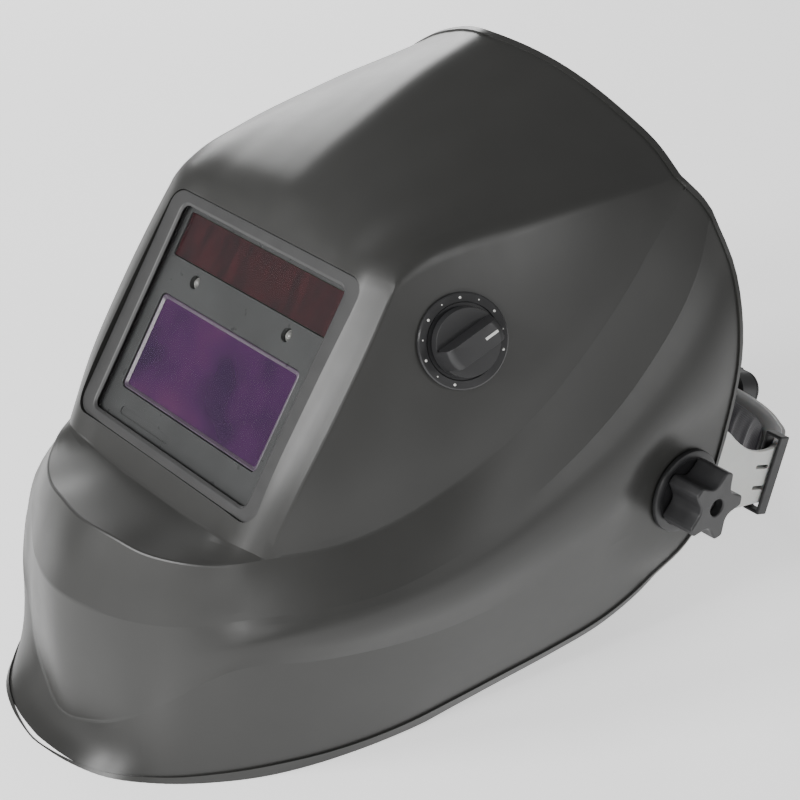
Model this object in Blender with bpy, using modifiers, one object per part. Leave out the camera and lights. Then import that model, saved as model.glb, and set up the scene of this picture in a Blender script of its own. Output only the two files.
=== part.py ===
"""Auto-darkening welding helmet, standing on its lower rim as it does on a bench.

Lengths are written in millimetres and turned into metres by the helpers. +X is the wearer's left, the
window faces -Y and +Z is up. The shell's lines are measured from the middle of the window. The headgear is
drawn in its own frame, whose origin is the middle of the pivot axis and which leans back with the helmet.
"""

import math

import bmesh
import bpy
from mathutils import Vector
from mathutils.geometry import interpolate_bezier

MM = 0.001
GAP = 0.3  # between pieces that touch

# Shell
WINDOW_HEIGHT = 138.6  # middle of the window above the bench
WINDOW_TO_MIDDLE = 105.9  # from the window's middle back to the middle of the whole helmet
PANEL_TILT = 33.1  # degrees that the window panel leans back
WALL = 2.4
CELLS_ACROSS = 8  # cells of the shell's mesh across the window panel's half
CELLS_DEEP = 12  # and from the window panel to the rear rim
CELLS_UP = 8  # and up the window panel's side ridge

# Window and filter cartridge; the cover lens is the common 110 x 90 size
LENS_SIZE = (110.0, 90.0)
FILTER_SHIFT = 3.5  # from the window's frame out to the frame that the holder and cartridge are drawn in
OPENING = (103.0, 88.0)
BEZEL = (120.0, 97.5)
CARTRIDGE_VIEW = (90.0, 40.6)
VIEW_MIDDLE = -11.5
SOLAR_SIZE = (98.0, 18.0)
SOLAR_MIDDLE = 33.2
SENSOR_PLACE = (30.0, 18.3)
DIAL_PLACE = (12.0, 30.0)
BATTERY_PLACE = (39.5, 30.0)
BUTTON_HEIGHT = 17.0

# Pivot and headgear
SIDES = (("left", (0, 90, 0)), ("right", (0, -90, 0)))  # turns that point Z out to that side
PIVOT = (0.0, 142.2, -63.1)
HEADGEAR_LEAN = 18.0  # degrees
BAND_HALF_WIDTH = 86.0
PLATE_IN, PLATE_OUT = 96.0, 99.0  # side bracket's plate, from the middle plane
SLOT_TRAVEL = 10.0  # each way
PIVOT_SEAT = 114.2  # the shell's outside around each pivot, where it is flat
SEAT_FLAT, SEAT_BLEND = 21.0, 42.0  # radii within which it is flat, and beyond which it isn't
FLANGE_IN, FLANGE_OUT = 114.8, 116.7  # star knob's flange
STAR_END = 132.6
STAR_TIP, STAR_VALLEY = 14.8, 9.3
STAR_TURN = 99.5  # degrees from the local X axis to the first lobe
PINION_RADIUS = 8.0  # pitch radius, which sets the size adjustment for each turn
PINION_TEETH = 8
RATCHET_MIDDLE = -3.5  # height of its shaft in the headgear's frame
RATCHET_FACE = 136.8  # its housing's front, behind the rear band
RATCHET_HALF = 33.0  # half of its width
RACK_LENGTH = 38.0

# Shade control on the wearer's left
SHADE_PLACE = (83.0, 52.1, 18.9)
SHADE_NORMAL = (0.905, -0.277, 0.324)
SHADE_TURN = 25.0


# ---------------------------------------------------------------- scene and materials


def clear_scene():
    for ob in list(bpy.data.objects):
        bpy.data.objects.remove(ob, do_unlink=True)


def collection(name):
    made = bpy.data.collections.new(name)
    bpy.context.scene.collection.children.link(made)
    return made


clear_scene()
PARTS = collection("welding_helmet")
CUTTERS = collection("cutters")


def material(name, colour, roughness, metallic=0.0):
    made = bpy.data.materials.new(name)
    made.use_nodes = True
    shader = made.node_tree.nodes["Principled BSDF"]
    shader.inputs["Base Color"].default_value = (*colour, 1.0)
    shader.inputs["Roughness"].default_value = roughness
    shader.inputs["Metallic"].default_value = metallic
    return made


SHELL_GREY = material("shell_grey", (0.060, 0.060, 0.058), 0.42)
BLACK_PLASTIC = material("black_plastic", (0.022, 0.022, 0.023), 0.45)
DARK_RUBBER = material("dark_rubber", (0.018, 0.018, 0.019), 0.8)
BAND_GREY = material("band_grey", (0.42, 0.43, 0.41), 0.5)
FOAM = material("foam", (0.05, 0.046, 0.052), 0.95)
CLEAR = material("clear_lens", (0.85, 0.88, 0.88), 0.05)
FILTER_VIOLET = material("filter_violet", (0.075, 0.025, 0.085), 0.08)
SOLAR_RED = material("solar_red", (0.04, 0.014, 0.016), 0.15)
BOARD_GREEN = material("board_green", (0.02, 0.12, 0.05), 0.5)
STEEL = material("steel", (0.45, 0.45, 0.46), 0.35, 1.0)


# ---------------------------------------------------------------- frames


def from_window(x, y, z):
    """A point measured from the middle of the window, level with the bench."""
    return Vector((x, y - WINDOW_TO_MIDDLE, z + WINDOW_HEIGHT)) * MM


def empty(name, place, rotation):
    made = bpy.data.objects.new(name, None)
    made.location = place
    made.rotation_euler = rotation
    bpy.context.scene.collection.objects.link(made)
    return made


def window_frame():
    """X to the wearer's left, Y up the window panel and Z out of it."""
    return empty("window_frame", from_window(0, 0, 0), (math.radians(90 - PANEL_TILT), 0, 0))


def headgear_frame():
    return empty("headgear_frame", from_window(*PIVOT), (-math.radians(HEADGEAR_LEAN), 0, 0))


def shade_frame():
    """Z out of the shell's side at the shade knob."""
    turn = Vector(SHADE_NORMAL).to_track_quat("Z", "Y").to_euler()
    return empty("shade_frame", from_window(*SHADE_PLACE), turn)


def filter_frame():
    """The window's frame, brought forward."""
    made = empty("filter_frame", (0, 0, FILTER_SHIFT * MM), (0, 0, 0))
    made.parent = WINDOW
    return made


WINDOW = window_frame()
FILTER = filter_frame()
HEADGEAR = headgear_frame()
SHADE = shade_frame()
bpy.context.view_layer.update()


# ---------------------------------------------------------------- modelling helpers


def place(ob, parent, at=(0, 0, 0), turn=(0, 0, 0)):
    ob.parent = parent
    ob.location = Vector(at) * MM
    ob.rotation_euler = [math.radians(a) for a in turn]
    return ob


def add(name, mesh, finish, into=PARTS):
    ob = bpy.data.objects.new(name, mesh)
    if finish is not None:
        mesh.materials.append(finish)
    into.objects.link(ob)
    return ob


def mesh_of(bm, name, smooth_below=40):
    bm.normal_update()
    mesh = bpy.data.meshes.new(name)
    bm.to_mesh(mesh)
    bm.free()
    mesh.shade_smooth()
    mesh.set_sharp_from_angle(angle=math.radians(smooth_below))
    return mesh


def box_mesh(name, size, middle):
    bm = bmesh.new()
    bmesh.ops.create_cube(bm, size=1)
    bmesh.ops.scale(bm, vec=Vector(size) * MM, verts=bm.verts)
    bmesh.ops.translate(bm, vec=Vector(middle) * MM, verts=bm.verts)
    return mesh_of(bm, name)


def span(low, high):
    """Size and middle of a box from its two corners."""
    return [b - a for a, b in zip(low, high)], [(a + b) / 2 for a, b in zip(low, high)]


def block(name, low, high, finish, parent, bevel=0.0):
    ob = place(add(name, box_mesh(name, *span(low, high)), finish), parent)
    if bevel:
        rounded(ob, bevel)
    return ob


def rounded(ob, width, segments=1):
    mod = ob.modifiers.new("edges", "BEVEL")
    mod.width = width * MM
    mod.segments = segments
    mod.limit_method = "ANGLE"
    mod.angle_limit = math.radians(50)


def prism_mesh(name, outline, low, high):
    """An outline in the XY plane, extruded from low to high along Z."""
    bm = bmesh.new()
    verts = [bm.verts.new(Vector((x, y, low)) * MM) for x, y in outline]
    base = bm.faces.new(verts)
    made = bmesh.ops.extrude_face_region(bm, geom=[base])
    top = [v for v in made["geom"] if isinstance(v, bmesh.types.BMVert)]
    bmesh.ops.translate(bm, vec=(0, 0, (high - low) * MM), verts=top)
    bmesh.ops.recalc_face_normals(bm, faces=bm.faces)
    return mesh_of(bm, name)


def prism(name, outline, low, high, finish, parent, at=(0, 0, 0), turn=(0, 0, 0)):
    return place(add(name, prism_mesh(name, outline, low, high), finish), parent, at, turn)


def turned(name, profile, finish, parent, at=(0, 0, 0), turn=(0, 0, 0), steps=24, into=PARTS):
    """A profile of (radius, height) points, from the top down its outer side, turned about Z."""
    bm = bmesh.new()
    verts = [bm.verts.new(Vector((r, 0, h)) * MM) for r, h in profile]
    for a, b in zip(verts, verts[1:]):
        bm.edges.new((a, b))
    if profile[0][0] > 0:
        bm.edges.new((verts[-1], verts[0]))
    ob = place(add(name, mesh_of(bm, name), finish, into), parent, at, turn)
    mod = ob.modifiers.new("turn", "SCREW")
    mod.steps = steps
    mod.render_steps = steps
    mod.use_merge_vertices = True
    mod.merge_threshold = 0.00001
    mod.use_smooth_shade = False
    return ob


def washer(name, outer, inner, low, high, finish, parent, **where):
    ring = [(outer, high), (outer, low), (inner, low), (inner, high)]
    return turned(name, ring, finish, parent, **where)


def cut(ob, cutter):
    cutter.hide_render = True
    cutter.display_type = "WIRE"
    mod = ob.modifiers.new("cut", "BOOLEAN")
    mod.operation = "DIFFERENCE"
    mod.object = cutter


def box_cutter(name, low, high, parent):
    return place(add(name, box_mesh(name, *span(low, high)), None, CUTTERS), parent)


def round_cutter(name, radius, low, high, parent, at=(0, 0, 0), turn=(0, 0, 0), steps=24):
    profile = [(0, high), (radius, high), (radius, low), (0, low)]
    return turned(name, profile, None, parent, at, turn, steps, CUTTERS)


def rounded_rectangle(width, height, radius, middle=(0, 0), arc=4):
    points = []
    for quarter, (sx, sy) in enumerate(((1, 1), (-1, 1), (-1, -1), (1, -1))):
        for step in range(arc + 1):
            a = math.radians(90 * (quarter + step / arc))
            points.append((
                middle[0] + sx * (width / 2 - radius) + radius * math.cos(a),
                middle[1] + sy * (height / 2 - radius) + radius * math.sin(a),
            ))
    return points


def ring_of_outlines(name, loops, finish, parent):
    """A closed ring lofted through outlines with equal numbers of points, each at its own height along Z."""
    bm = bmesh.new()
    rows = [[bm.verts.new(Vector((x, y, h)) * MM) for x, y in outline] for outline, h in loops]
    count = len(rows[0])
    for a, b in zip(rows, rows[1:] + rows[:1]):
        for i in range(count):
            k = (i + 1) % count
            bm.faces.new((a[i], a[k], b[k], b[i]))
    bmesh.ops.recalc_face_normals(bm, faces=bm.faces)
    return place(add(name, mesh_of(bm, name), finish), parent)


def smooth_line(points, steps=12):
    """Closely spaced points on a smooth curve through the given ones, square to the middle plane."""
    pts = [Vector(p) for p in points]
    before = pts[1] * Vector((-1, 1, 1)) if pts[0].x == 0 else 2 * pts[0] - pts[1]
    after = 2 * pts[-1] - pts[-2]
    ring = [before, *pts, after]
    slopes = []
    for prior, here, following in zip(ring, ring[1:], ring[2:]):
        inward, outward = here - prior, following - here
        slope = inward.normalized() * outward.length + outward.normalized() * inward.length
        slopes.append(slope.normalized())
    line = [pts[0]]
    for i in range(len(pts) - 1):
        reach = (pts[i + 1] - pts[i]).length / 3
        bow = interpolate_bezier(
            pts[i], pts[i] + slopes[i] * reach, pts[i + 1] - slopes[i + 1] * reach, pts[i + 1], steps)
        line += bow[1:]
    return line


def spaced(line, count):
    """count + 1 points evenly spaced along a line of points."""
    lengths = [0.0]
    for a, b in zip(line, line[1:]):
        lengths.append(lengths[-1] + (b - a).length)
    out, k = [], 0
    for i in range(count + 1):
        want = lengths[-1] * i / count
        while k < len(line) - 2 and lengths[k + 1] < want:
            k += 1
        run = lengths[k + 1] - lengths[k]
        share = (want - lengths[k]) / run if run else 0.0
        out.append(line[k].lerp(line[k + 1], min(max(share, 0.0), 1.0)))
    return out


def curve_through(points, count):
    return spaced(smooth_line(points), count)


def curve_with_knot(points, knot, first, second):
    """As curve_through, with a sample on points[knot]: first cells before it and second after it."""
    steps = 12
    line = smooth_line(points, steps)
    at = knot * (steps - 1)
    return spaced(line[: at + 1], first) + spaced(line[at:], second)[1:]


def coons(top, bottom, left, right):
    """Rows of points that fill the space between four border lines."""
    n, m = len(top) - 1, len(left) - 1
    rows = []
    for j in range(m + 1):
        v = j / m
        row = []
        for i in range(n + 1):
            u = i / n
            ruled = top[i] * (1 - v) + bottom[i] * v + left[j] * (1 - u) + right[j] * u
            corners = (top[0] * (1 - u) + top[n] * u) * (1 - v) + (bottom[0] * (1 - u) + bottom[n] * u) * v
            row.append(ruled - corners)
        rows.append(row)
    return rows


def sheet_of_patches(patches, convert):
    """An open mesh of quads from patches of points; points that coincide become one."""
    bm = bmesh.new()
    for rows in patches:
        grid = [[bm.verts.new(convert(p)) for p in row] for row in rows]
        for upper, lower in zip(grid, grid[1:]):
            for i in range(len(upper) - 1):
                bm.faces.new((upper[i], lower[i], lower[i + 1], upper[i + 1]))
    bmesh.ops.remove_doubles(bm, verts=bm.verts, dist=0.00002)
    bmesh.ops.dissolve_degenerate(bm, edges=bm.edges, dist=0.00002)
    return bm


def mirrored(ob):
    mod = ob.modifiers.new("other_half", "MIRROR")
    mod.merge_threshold = 0.0001
    mod.use_clip = True


def thickened(ob, thickness, offset=0.0):
    mod = ob.modifiers.new("thickness", "SOLIDIFY")
    mod.thickness = thickness * MM
    mod.offset = offset
    mod.use_even_offset = True


def strip(name, low_edge, high_edge, count, thickness, finish, parent, mirror=True, offset=0.0):
    """A bent strap between two edge lines given by a few points each."""
    rows = [curve_through(high_edge, count), curve_through(low_edge, count)]
    bm = sheet_of_patches([rows], lambda p: p * MM)
    ob = place(add(name, mesh_of(bm, name), finish), parent)
    if mirror:
        mirrored(ob)
    thickened(ob, thickness, offset)
    return ob


# ---------------------------------------------------------------- shell


def up_panel(u, v):
    """A point on the window panel's plane, u across and v up from the window's middle."""
    t = math.radians(PANEL_TILT)
    return (u, v * math.sin(t), v * math.cos(t))


CREST = (69.8, 34.5, 45.2)  # where the panel, the crown and the side meet
CHEEK = (68.2, -26.3, -49.6)  # and the panel, the lip and the band
RIM_LOW = -140.0  # cut level at the bench afterwards
BROW = [up_panel(0, 54.5), up_panel(40, 54.6), up_panel(60, 55.0), CREST]
PANEL_SIDE = [CREST, (71.6, 17.5, 20.5), (71.8, 2.2, -2.0), (70.8, -12.8, -25.0), CHEEK]
PANEL_FOOT = [up_panel(0, -59), up_panel(40, -58.4), up_panel(60, -56.5), CHEEK]
PANEL_MIDDLE = [up_panel(0, 54.5), up_panel(0, -59)]
CROWN_MIDDLE = [up_panel(0, 54.5), (0, 38, 55), (0, 52, 63), (0, 75, 73.5), (0, 105, 86), (0, 138, 96)]
CROWN_SIDE = [CREST, (70.4, 45, 50.2), (73, 64, 53.8), (78.5, 88, 55.6), (83, 118, 57), (84.5, 160.5, 55.5)]
RIM_TOP = [
    (0, 138, 96.5), (15, 142.5, 93.8), (30, 147.5, 89), (45, 151, 83), (59, 154.5, 75.5),
    (74, 158.5, 65.5), (84.5, 160.5, 55.5)]
BAND_TOP_SIDE = [
    CHEEK, (80, -7, -47), (89, 18.7, -40.6), (95, 41.8, -30.3), (98.5, 68, -17), (98, 108, 11),
    (93.5, 138, 35), (87, 163, 52.5)]
BAND_TOP_FRONT = [
    (0, -62.0, -50.8), (19, -59.6, -51), (32, -56.6, -52), (46, -50.0, -52), (57, -41.0, -51.8),
    (63.5, -33.6, -50.6), CHEEK]
BAND_FOOT = [
    (0, -76.0, -76), (24, -70.4, -77), (44, -60.6, -76), (58, -52, -73), (73, -38, -68), (86, -21, -65),
    (98, 1.5, -61.5), (105, 28.5, -54.5), (109, 74, -36), (108, 120, -9.5), (100, 159, 26.5),
    (93, 170.3, 41.5)]
CHIN_FOLD = [
    (0, -78.3, -132), (18, -74.6, -128), (33, -70.2, -120), (44, -65.2, -112), (55, -61, -103),
    (65, -54, -93), (74, -46, -86), (89, -18, -86), (101, 20, -86), (108, 60, -82), (112.5, 100, -76),
    (114, 135, -66), (114.2, 165, -48)]
RIM_FOOT = [
    (0, -93.6, RIM_LOW), (10, -92.4, RIM_LOW), (24, -88.8, RIM_LOW), (38, -82.5, RIM_LOW),
    (53, -69.3, RIM_LOW), (65, -53.5, RIM_LOW), (74.5, -36, RIM_LOW), (80.5, -18, RIM_LOW),
    (84.5, 2, RIM_LOW), (87, 22, -139.2), (89, 45, -136.6), (92.5, 67, -132.4), (97, 90, -127.2),
    (102, 113, -120), (106.5, 130.5, -108.6), (110, 143, -95.1), (112, 150, -87)]
RIM_CREST_TO_BAND = [(84.5, 160.5, 55.5), (87, 163, 52.5)]
RIM_OF_BAND = [(87, 163, 52.5), (90.3, 167.3, 47), (93, 170.3, 41.5)]
RIM_SIDE = [
    (93, 170.3, 41.5), (105, 172.5, 21), (111, 172, 4), (113.7, 171, -12), (114.3, 168.7, -30),
    (114.2, 165, -48)]
RIM_CORNER = [(114.2, 165, -48), (114, 161, -61), (113.2, 156.5, -74), (112, 150, -87)]
CHIN_MIDDLE = [(0, -76.0, -76), (0, -77.6, -100), (0, -78.3, -132)]
CHIN_FLARE = [(0, -78.3, -132), (0, -83.5, -136), (0, -93.6, RIM_LOW)]
LIP_MIDDLE = [up_panel(0, -59), (0, -52, -50.4), (0, -62.0, -50.8)]
BAND_MIDDLE = [(0, -62.0, -50.8), (0, -69, -62), (0, -76.0, -76)]


def shell_patches():
    across, deep, up = CELLS_ACROSS, CELLS_DEEP, CELLS_UP
    brow, foot = (curve_with_knot(line, 2, across - 1, 1) for line in (BROW, PANEL_FOOT))
    ridge = curve_through(PANEL_SIDE, up)
    crown_side = curve_through(CROWN_SIDE, deep)
    band_top = curve_through(BAND_TOP_FRONT, across) + curve_through(BAND_TOP_SIDE, deep)[1:]
    band_foot = curve_with_knot(BAND_FOOT, 4, across, deep)
    fold = curve_with_knot(CHIN_FOLD, 6, across, deep)
    rim_foot = curve_with_knot(RIM_FOOT, 6, across, deep)
    corner = ridge[-1]
    return [
        coons(brow, curve_through(RIM_TOP, across), curve_through(CROWN_MIDDLE, deep), crown_side),
        coons(brow, foot, spaced([Vector(p) for p in PANEL_MIDDLE], up), ridge),
        coons(crown_side, band_top[across:], ridge, spaced([Vector(p) for p in RIM_CREST_TO_BAND], up)),
        coons(foot, band_top[: across + 1], curve_through(LIP_MIDDLE, 2), [corner] * 3),
        coons(band_top, band_foot, curve_through(BAND_MIDDLE, 3), curve_through(RIM_OF_BAND, 3)),
        coons(band_foot, fold, curve_through(CHIN_MIDDLE, 4), curve_through(RIM_SIDE, 4)),
        coons(fold, rim_foot, curve_through(CHIN_FLARE, 3), curve_through(RIM_CORNER, 3)),
    ]


def seated(p):
    """A point of the shell, brought to the flat seat where it is near a pivot."""
    away = math.hypot(p.y - PIVOT[1], p.z - PIVOT[2])
    share = min(max((SEAT_BLEND - away) / (SEAT_BLEND - SEAT_FLAT), 0.0), 1.0)
    share = share * share * (3 - 2 * share)
    return Vector((p.x + share * (PIVOT_SEAT - p.x), p.y, p.z)) if p.x > PIVOT_SEAT / 2 else p


def make_shell():
    bm = sheet_of_patches(shell_patches(), lambda p: from_window(*seated(p)))
    bmesh.ops.recalc_face_normals(bm, faces=bm.faces)
    front = min(bm.faces, key=lambda f: f.calc_center_median().y)
    front.normal_update()
    if front.normal.y > 0:
        bmesh.ops.reverse_faces(bm, faces=bm.faces)
    shell = add("shell", mesh_of(bm, "shell", 25), SHELL_GREY)
    mirrored(shell)
    thickened(shell, WALL, -1.0)
    cut(shell, window_cutter())
    cut(shell, add("bench_cutter", box_mesh("bench", (400, 500, 20), (0, 0, -10)), None, CUTTERS))
    for side, turn in SIDES:
        cut(shell, round_cutter(f"pivot_hole_{side}", 5.0, 100, 125, HEADGEAR, turn=turn))
    cut(shell, round_cutter("shade_hole", 3.9, -12, 8, SHADE))
    return shell


def window_cutter():
    outline = rounded_rectangle(BEZEL[0] + 2 * GAP, BEZEL[1] + 2 * GAP, 7.3, (0, 0.25))
    mesh = prism_mesh("window_cutter", outline, -20, 20)
    return place(add("window_cutter", mesh, None, CUTTERS), WINDOW)


# ---------------------------------------------------------------- window and filter cartridge


def make_window():
    """The bezel: a face around the opening, and a skirt behind it that holds the lens and its seal."""
    w, h = LENS_SIZE
    face = rounded_rectangle(*BEZEL, 7, (0, 0.25))
    mouth = rounded_rectangle(OPENING[0] + 2.0, OPENING[1] + 2.0, 4)
    throat = rounded_rectangle(*OPENING, 3)
    skirt = rounded_rectangle(w + 0.8, h + 0.8, 1)
    loops = [
        (mouth, 0.3), (face, 0.3), (face, -4.4), (skirt, -4.4), (skirt, -1.0), (throat, -1.0),
        (throat, -0.4)]
    ring_of_outlines("window_bezel", loops, SHELL_GREY, WINDOW)
    block("outer_cover_lens", (-w / 2, -h / 2, -2.3), (w / 2, h / 2, -1.3), CLEAR, WINDOW)
    seal_out, seal_in = rounded_rectangle(w, h, 2), rounded_rectangle(104, 88.6, 2)
    ring_of_outlines("lens_gasket", [
        (seal_in, -2.6), (seal_out, -2.6), (seal_out, -3.1), (seal_in, -3.1)], DARK_RUBBER, WINDOW)


def make_holder():
    w, h = LENS_SIZE
    holder = block("adf_holder", (-60, -50, -23.5), (60, 50, -8.2), BLACK_PLASTIC, FILTER, 1.0)
    half_w, half_h = w / 2 + 0.5, h / 2 + 0.5
    cut(holder, box_cutter("holder_pocket", (-half_w, -half_h, -30), (half_w, half_h, 0), FILTER))
    for name, edge in (("latch_pin_hole_left", 1), ("latch_pin_hole_right", -1)):
        low, high = sorted((edge * 54, edge * 62))
        cut(holder, box_cutter(name, (low, -45.1, -23.1), (high, -41.5, -19.5), FILTER))
    cut(holder, box_cutter("cable_entry", (54, 17.5, -16.9), (62, 22.5, -12.9), FILTER))


def make_latch():
    """The flap along the holder's foot that keeps the cartridge in; it turns about its pins."""
    outline = [
        (-53, -1.6), (-53, -1.2), (-58.5, -1.2), (-58.5, 1.2), (-53, 1.2), (-40, 8.2), (40, 8.2), (53, 1.2),
        (58.5, 1.2), (58.5, -1.2), (53, -1.2), (53, -1.6)]
    prism("cartridge_latch", outline, -1.1, 1.1, BLACK_PLASTIC, FILTER, at=(0, -43.3, -21.3))


def make_cartridge():
    w, h = LENS_SIZE
    view_w, view_h = CARTRIDGE_VIEW
    view_low, view_high = VIEW_MIDDLE - view_h / 2, VIEW_MIDDLE + view_h / 2
    sun_low, sun_high = SOLAR_MIDDLE - SOLAR_SIZE[1] / 2, SOLAR_MIDDLE + SOLAR_SIZE[1] / 2

    def view_cutter(name, margin, low, high):
        across = view_w / 2 + margin
        return box_cutter(
            name, (-across, view_low - margin, low), (across, view_high + margin, high), FILTER)

    front = block("adf_front_case", (-w / 2, -h / 2, -9.9), (w / 2, h / 2, -6.9), BLACK_PLASTIC, FILTER)
    cut(front, view_cutter("view_cut_front", GAP, -12, -4))
    half = SOLAR_SIZE[0] / 2 + GAP
    cut(front, box_cutter("solar_cut", (-half, sun_low - GAP, -12), (half, sun_high + GAP, -4), FILTER))
    for side, sign in (("left", 1), ("right", -1)):
        spot = (sign * SENSOR_PLACE[0], SENSOR_PLACE[1], 0)
        cut(front, round_cutter(f"sensor_cut_{side}", 2.8, -12, -4, FILTER, at=spot, steps=16))
        dome = [(0, -7.2), (1.6, -7.5), (2.4, -8.4), (2.4, -9.7), (0, -9.7)]
        turned(f"arc_sensor_{side}", dome, SOLAR_RED, FILTER, at=spot, steps=16)

    half = SOLAR_SIZE[0] / 2
    block("solar_cell", (-half, sun_low, -9.4), (half, sun_high, -7.6), SOLAR_RED, FILTER)
    block("uv_ir_filter", (-view_w / 2, view_low, -9.3), (view_w / 2, view_high, -8.3), FILTER_VIOLET, FILTER)
    block("lcd_shutter", (-view_w / 2, view_low, -13.6), (view_w / 2, view_high, -9.6), FILTER_VIOLET, FILTER)

    board = block("circuit_board", (-52.5, -42.5, -12.0), (52.5, 42.5, -10.4), BOARD_GREEN, FILTER)
    cut(board, view_cutter("view_cut_board", GAP, -20, 0))

    back = block("adf_back_case", (-w / 2, -h / 2, -18.6), (w / 2, h / 2, -10.2), BLACK_PLASTIC, FILTER, 0.8)
    cut(back, box_cutter("case_pocket", (-53.2, -43.2, -17.0), (53.2, 43.2, -8), FILTER))
    cut(back, view_cutter("view_cut_back", 1.0, -25, -8))
    for side, sign in (("left", 1), ("right", -1)):
        spot = (sign * BATTERY_PLACE[0], BATTERY_PLACE[1], 0)
        cut(back, round_cutter(f"battery_cut_{side}", 12.4, -25, -8, FILTER, at=spot))
        cell = [(0, -12.3), (11.8, -12.3), (11.8, -16.4), (0, -16.4)]
        turned(f"battery_{side}", cell, STEEL, FILTER, at=spot)
        disc = [(0, -16.8), (12.0, -16.8), (12.0, -19.4), (0, -19.4)]
        cap = turned(f"battery_cap_{side}", disc, BLACK_PLASTIC, FILTER, at=spot)
        coin_slot = box_cutter(f"coin_slot_{side}", (-8, -1, -22), (8, 1, -18.2), FILTER)
        coin_slot.location = Vector(spot) * MM
        cut(cap, coin_slot)
    for name, sign in (("sensitivity_dial", 1), ("delay_dial", -1)):
        spot = (sign * DIAL_PLACE[0], DIAL_PLACE[1], 0)
        cut(back, round_cutter(f"{name}_cut", 3.4, -25, -8, FILTER, at=spot, steps=16))
        profile = [(0, -13), (3.0, -13), (3.0, -18.9), (6.5, -18.9), (6.5, -23.0), (5.6, -24.0), (0, -24.0)]
        dial = turned(name, profile, BLACK_PLASTIC, FILTER, at=spot)
        pointer = box_cutter(f"{name}_pointer", (-0.7, 0, -26), (0.7, 9, -23.2), FILTER)
        pointer.location = Vector(spot) * MM
        cut(dial, pointer)
    spot = (0, BUTTON_HEIGHT, 0)
    cut(back, round_cutter("button_cut", 2.6, -25, -8, FILTER, at=spot, steps=16))
    profile = [(0, -14.0), (3.6, -14.0), (3.6, -15.4), (2.2, -15.4), (2.2, -19.9), (0, -19.9)]
    turned("test_button", profile, SOLAR_RED, FILTER, at=spot, steps=16)

    block("inner_cover_lens", (-50, VIEW_MIDDLE - 24, -19.9), (50, VIEW_MIDDLE + 24, -18.9), CLEAR, FILTER)


# ---------------------------------------------------------------- shade control


def make_shade_control():
    """The outside knob, its numbered dial, and the control that it turns behind the shell's wall."""
    washer("shade_dial_plate", 17.8, 3.6, 0.7, 2.0, BLACK_PLASTIC, SHADE, steps=32)
    knob = turned(
        "shade_knob", [(0, 15.0), (8.5, 15.0), (11.5, 13.0), (13.0, 2.4), (3.3, 2.4), (3.3, 9.0), (0, 9.0)],
        BLACK_PLASTIC, SHADE, turn=(0, 0, SHADE_TURN), steps=32)
    for name, edge in (("knob_side_a", 1), ("knob_side_b", -1)):
        low, high = sorted((edge * 4.2, edge * 16))
        flat = box_cutter(name, (-16, low, 7.0), (16, high, 17), SHADE)
        flat.rotation_euler = (0, 0, math.radians(SHADE_TURN))
        cut(knob, flat)
    turned("shade_spindle", [(0, 8.6), (2.9, 8.6), (2.9, -11.8), (0, -11.8)], STEEL, SHADE, steps=16)
    hexagon = [(7.0 * math.cos(math.radians(a)), 7.0 * math.sin(math.radians(a))) for a in range(0, 360, 60)]
    nut = prism("shade_nut", hexagon, -5.2, -2.9, STEEL, SHADE)
    cut(nut, round_cutter("nut_bore", 3.4, -9, 0, SHADE, steps=16))
    can = [(9.0, -5.6), (9.0, -13.8), (0, -13.8), (0, -12.2), (3.3, -12.2), (3.3, -5.6)]
    turned("potentiometer", can, BLACK_PLASTIC, SHADE)


# The lead from the shade control to the cartridge, in the filter's frame.
CABLE_ROUTE = [
    (70.1, 42.6, -42.7), (67.6, 42.2, -43.7), (65.2, 40.4, -43.4), (64.0, 36.0, -39.5), (64.2, 30.0, -31.5),
    (65.0, 25.0, -24.0), (65.3, 21.6, -18.0), (63.4, 20.2, -15.3), (60.0, 20.0, -14.9), (55.6, 20.0, -14.9)]


def make_cable():
    curve = bpy.data.curves.new("control_cable", "CURVE")
    curve.dimensions = "3D"
    curve.bevel_depth = 1.5 * MM
    curve.bevel_resolution = 2
    curve.use_fill_caps = True
    points = curve_through(CABLE_ROUTE, 16)
    spline = curve.splines.new("POLY")
    spline.points.add(len(points) - 1)
    for point, where in zip(spline.points, points):
        point.co = (*(where * MM), 1)
    place(add("control_cable", curve, DARK_RUBBER), FILTER)


# ---------------------------------------------------------------- pivots


def star_outline(lobes, outer, inner, phase):
    """A knob's outline: blunt lobes with round hollows between them."""
    points = []
    for k in range(lobes):
        middle = 360 / lobes * k + phase
        to_next = 360 / lobes
        between = inner + 0.3 * (outer - inner)
        turns = (-8, outer), (8, outer), (19, between), (to_next / 2, inner), (to_next - 19, between)
        for turn, radius in turns:
            a = math.radians(middle + turn)
            points.append((radius * math.cos(a), radius * math.sin(a)))
    return points


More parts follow.
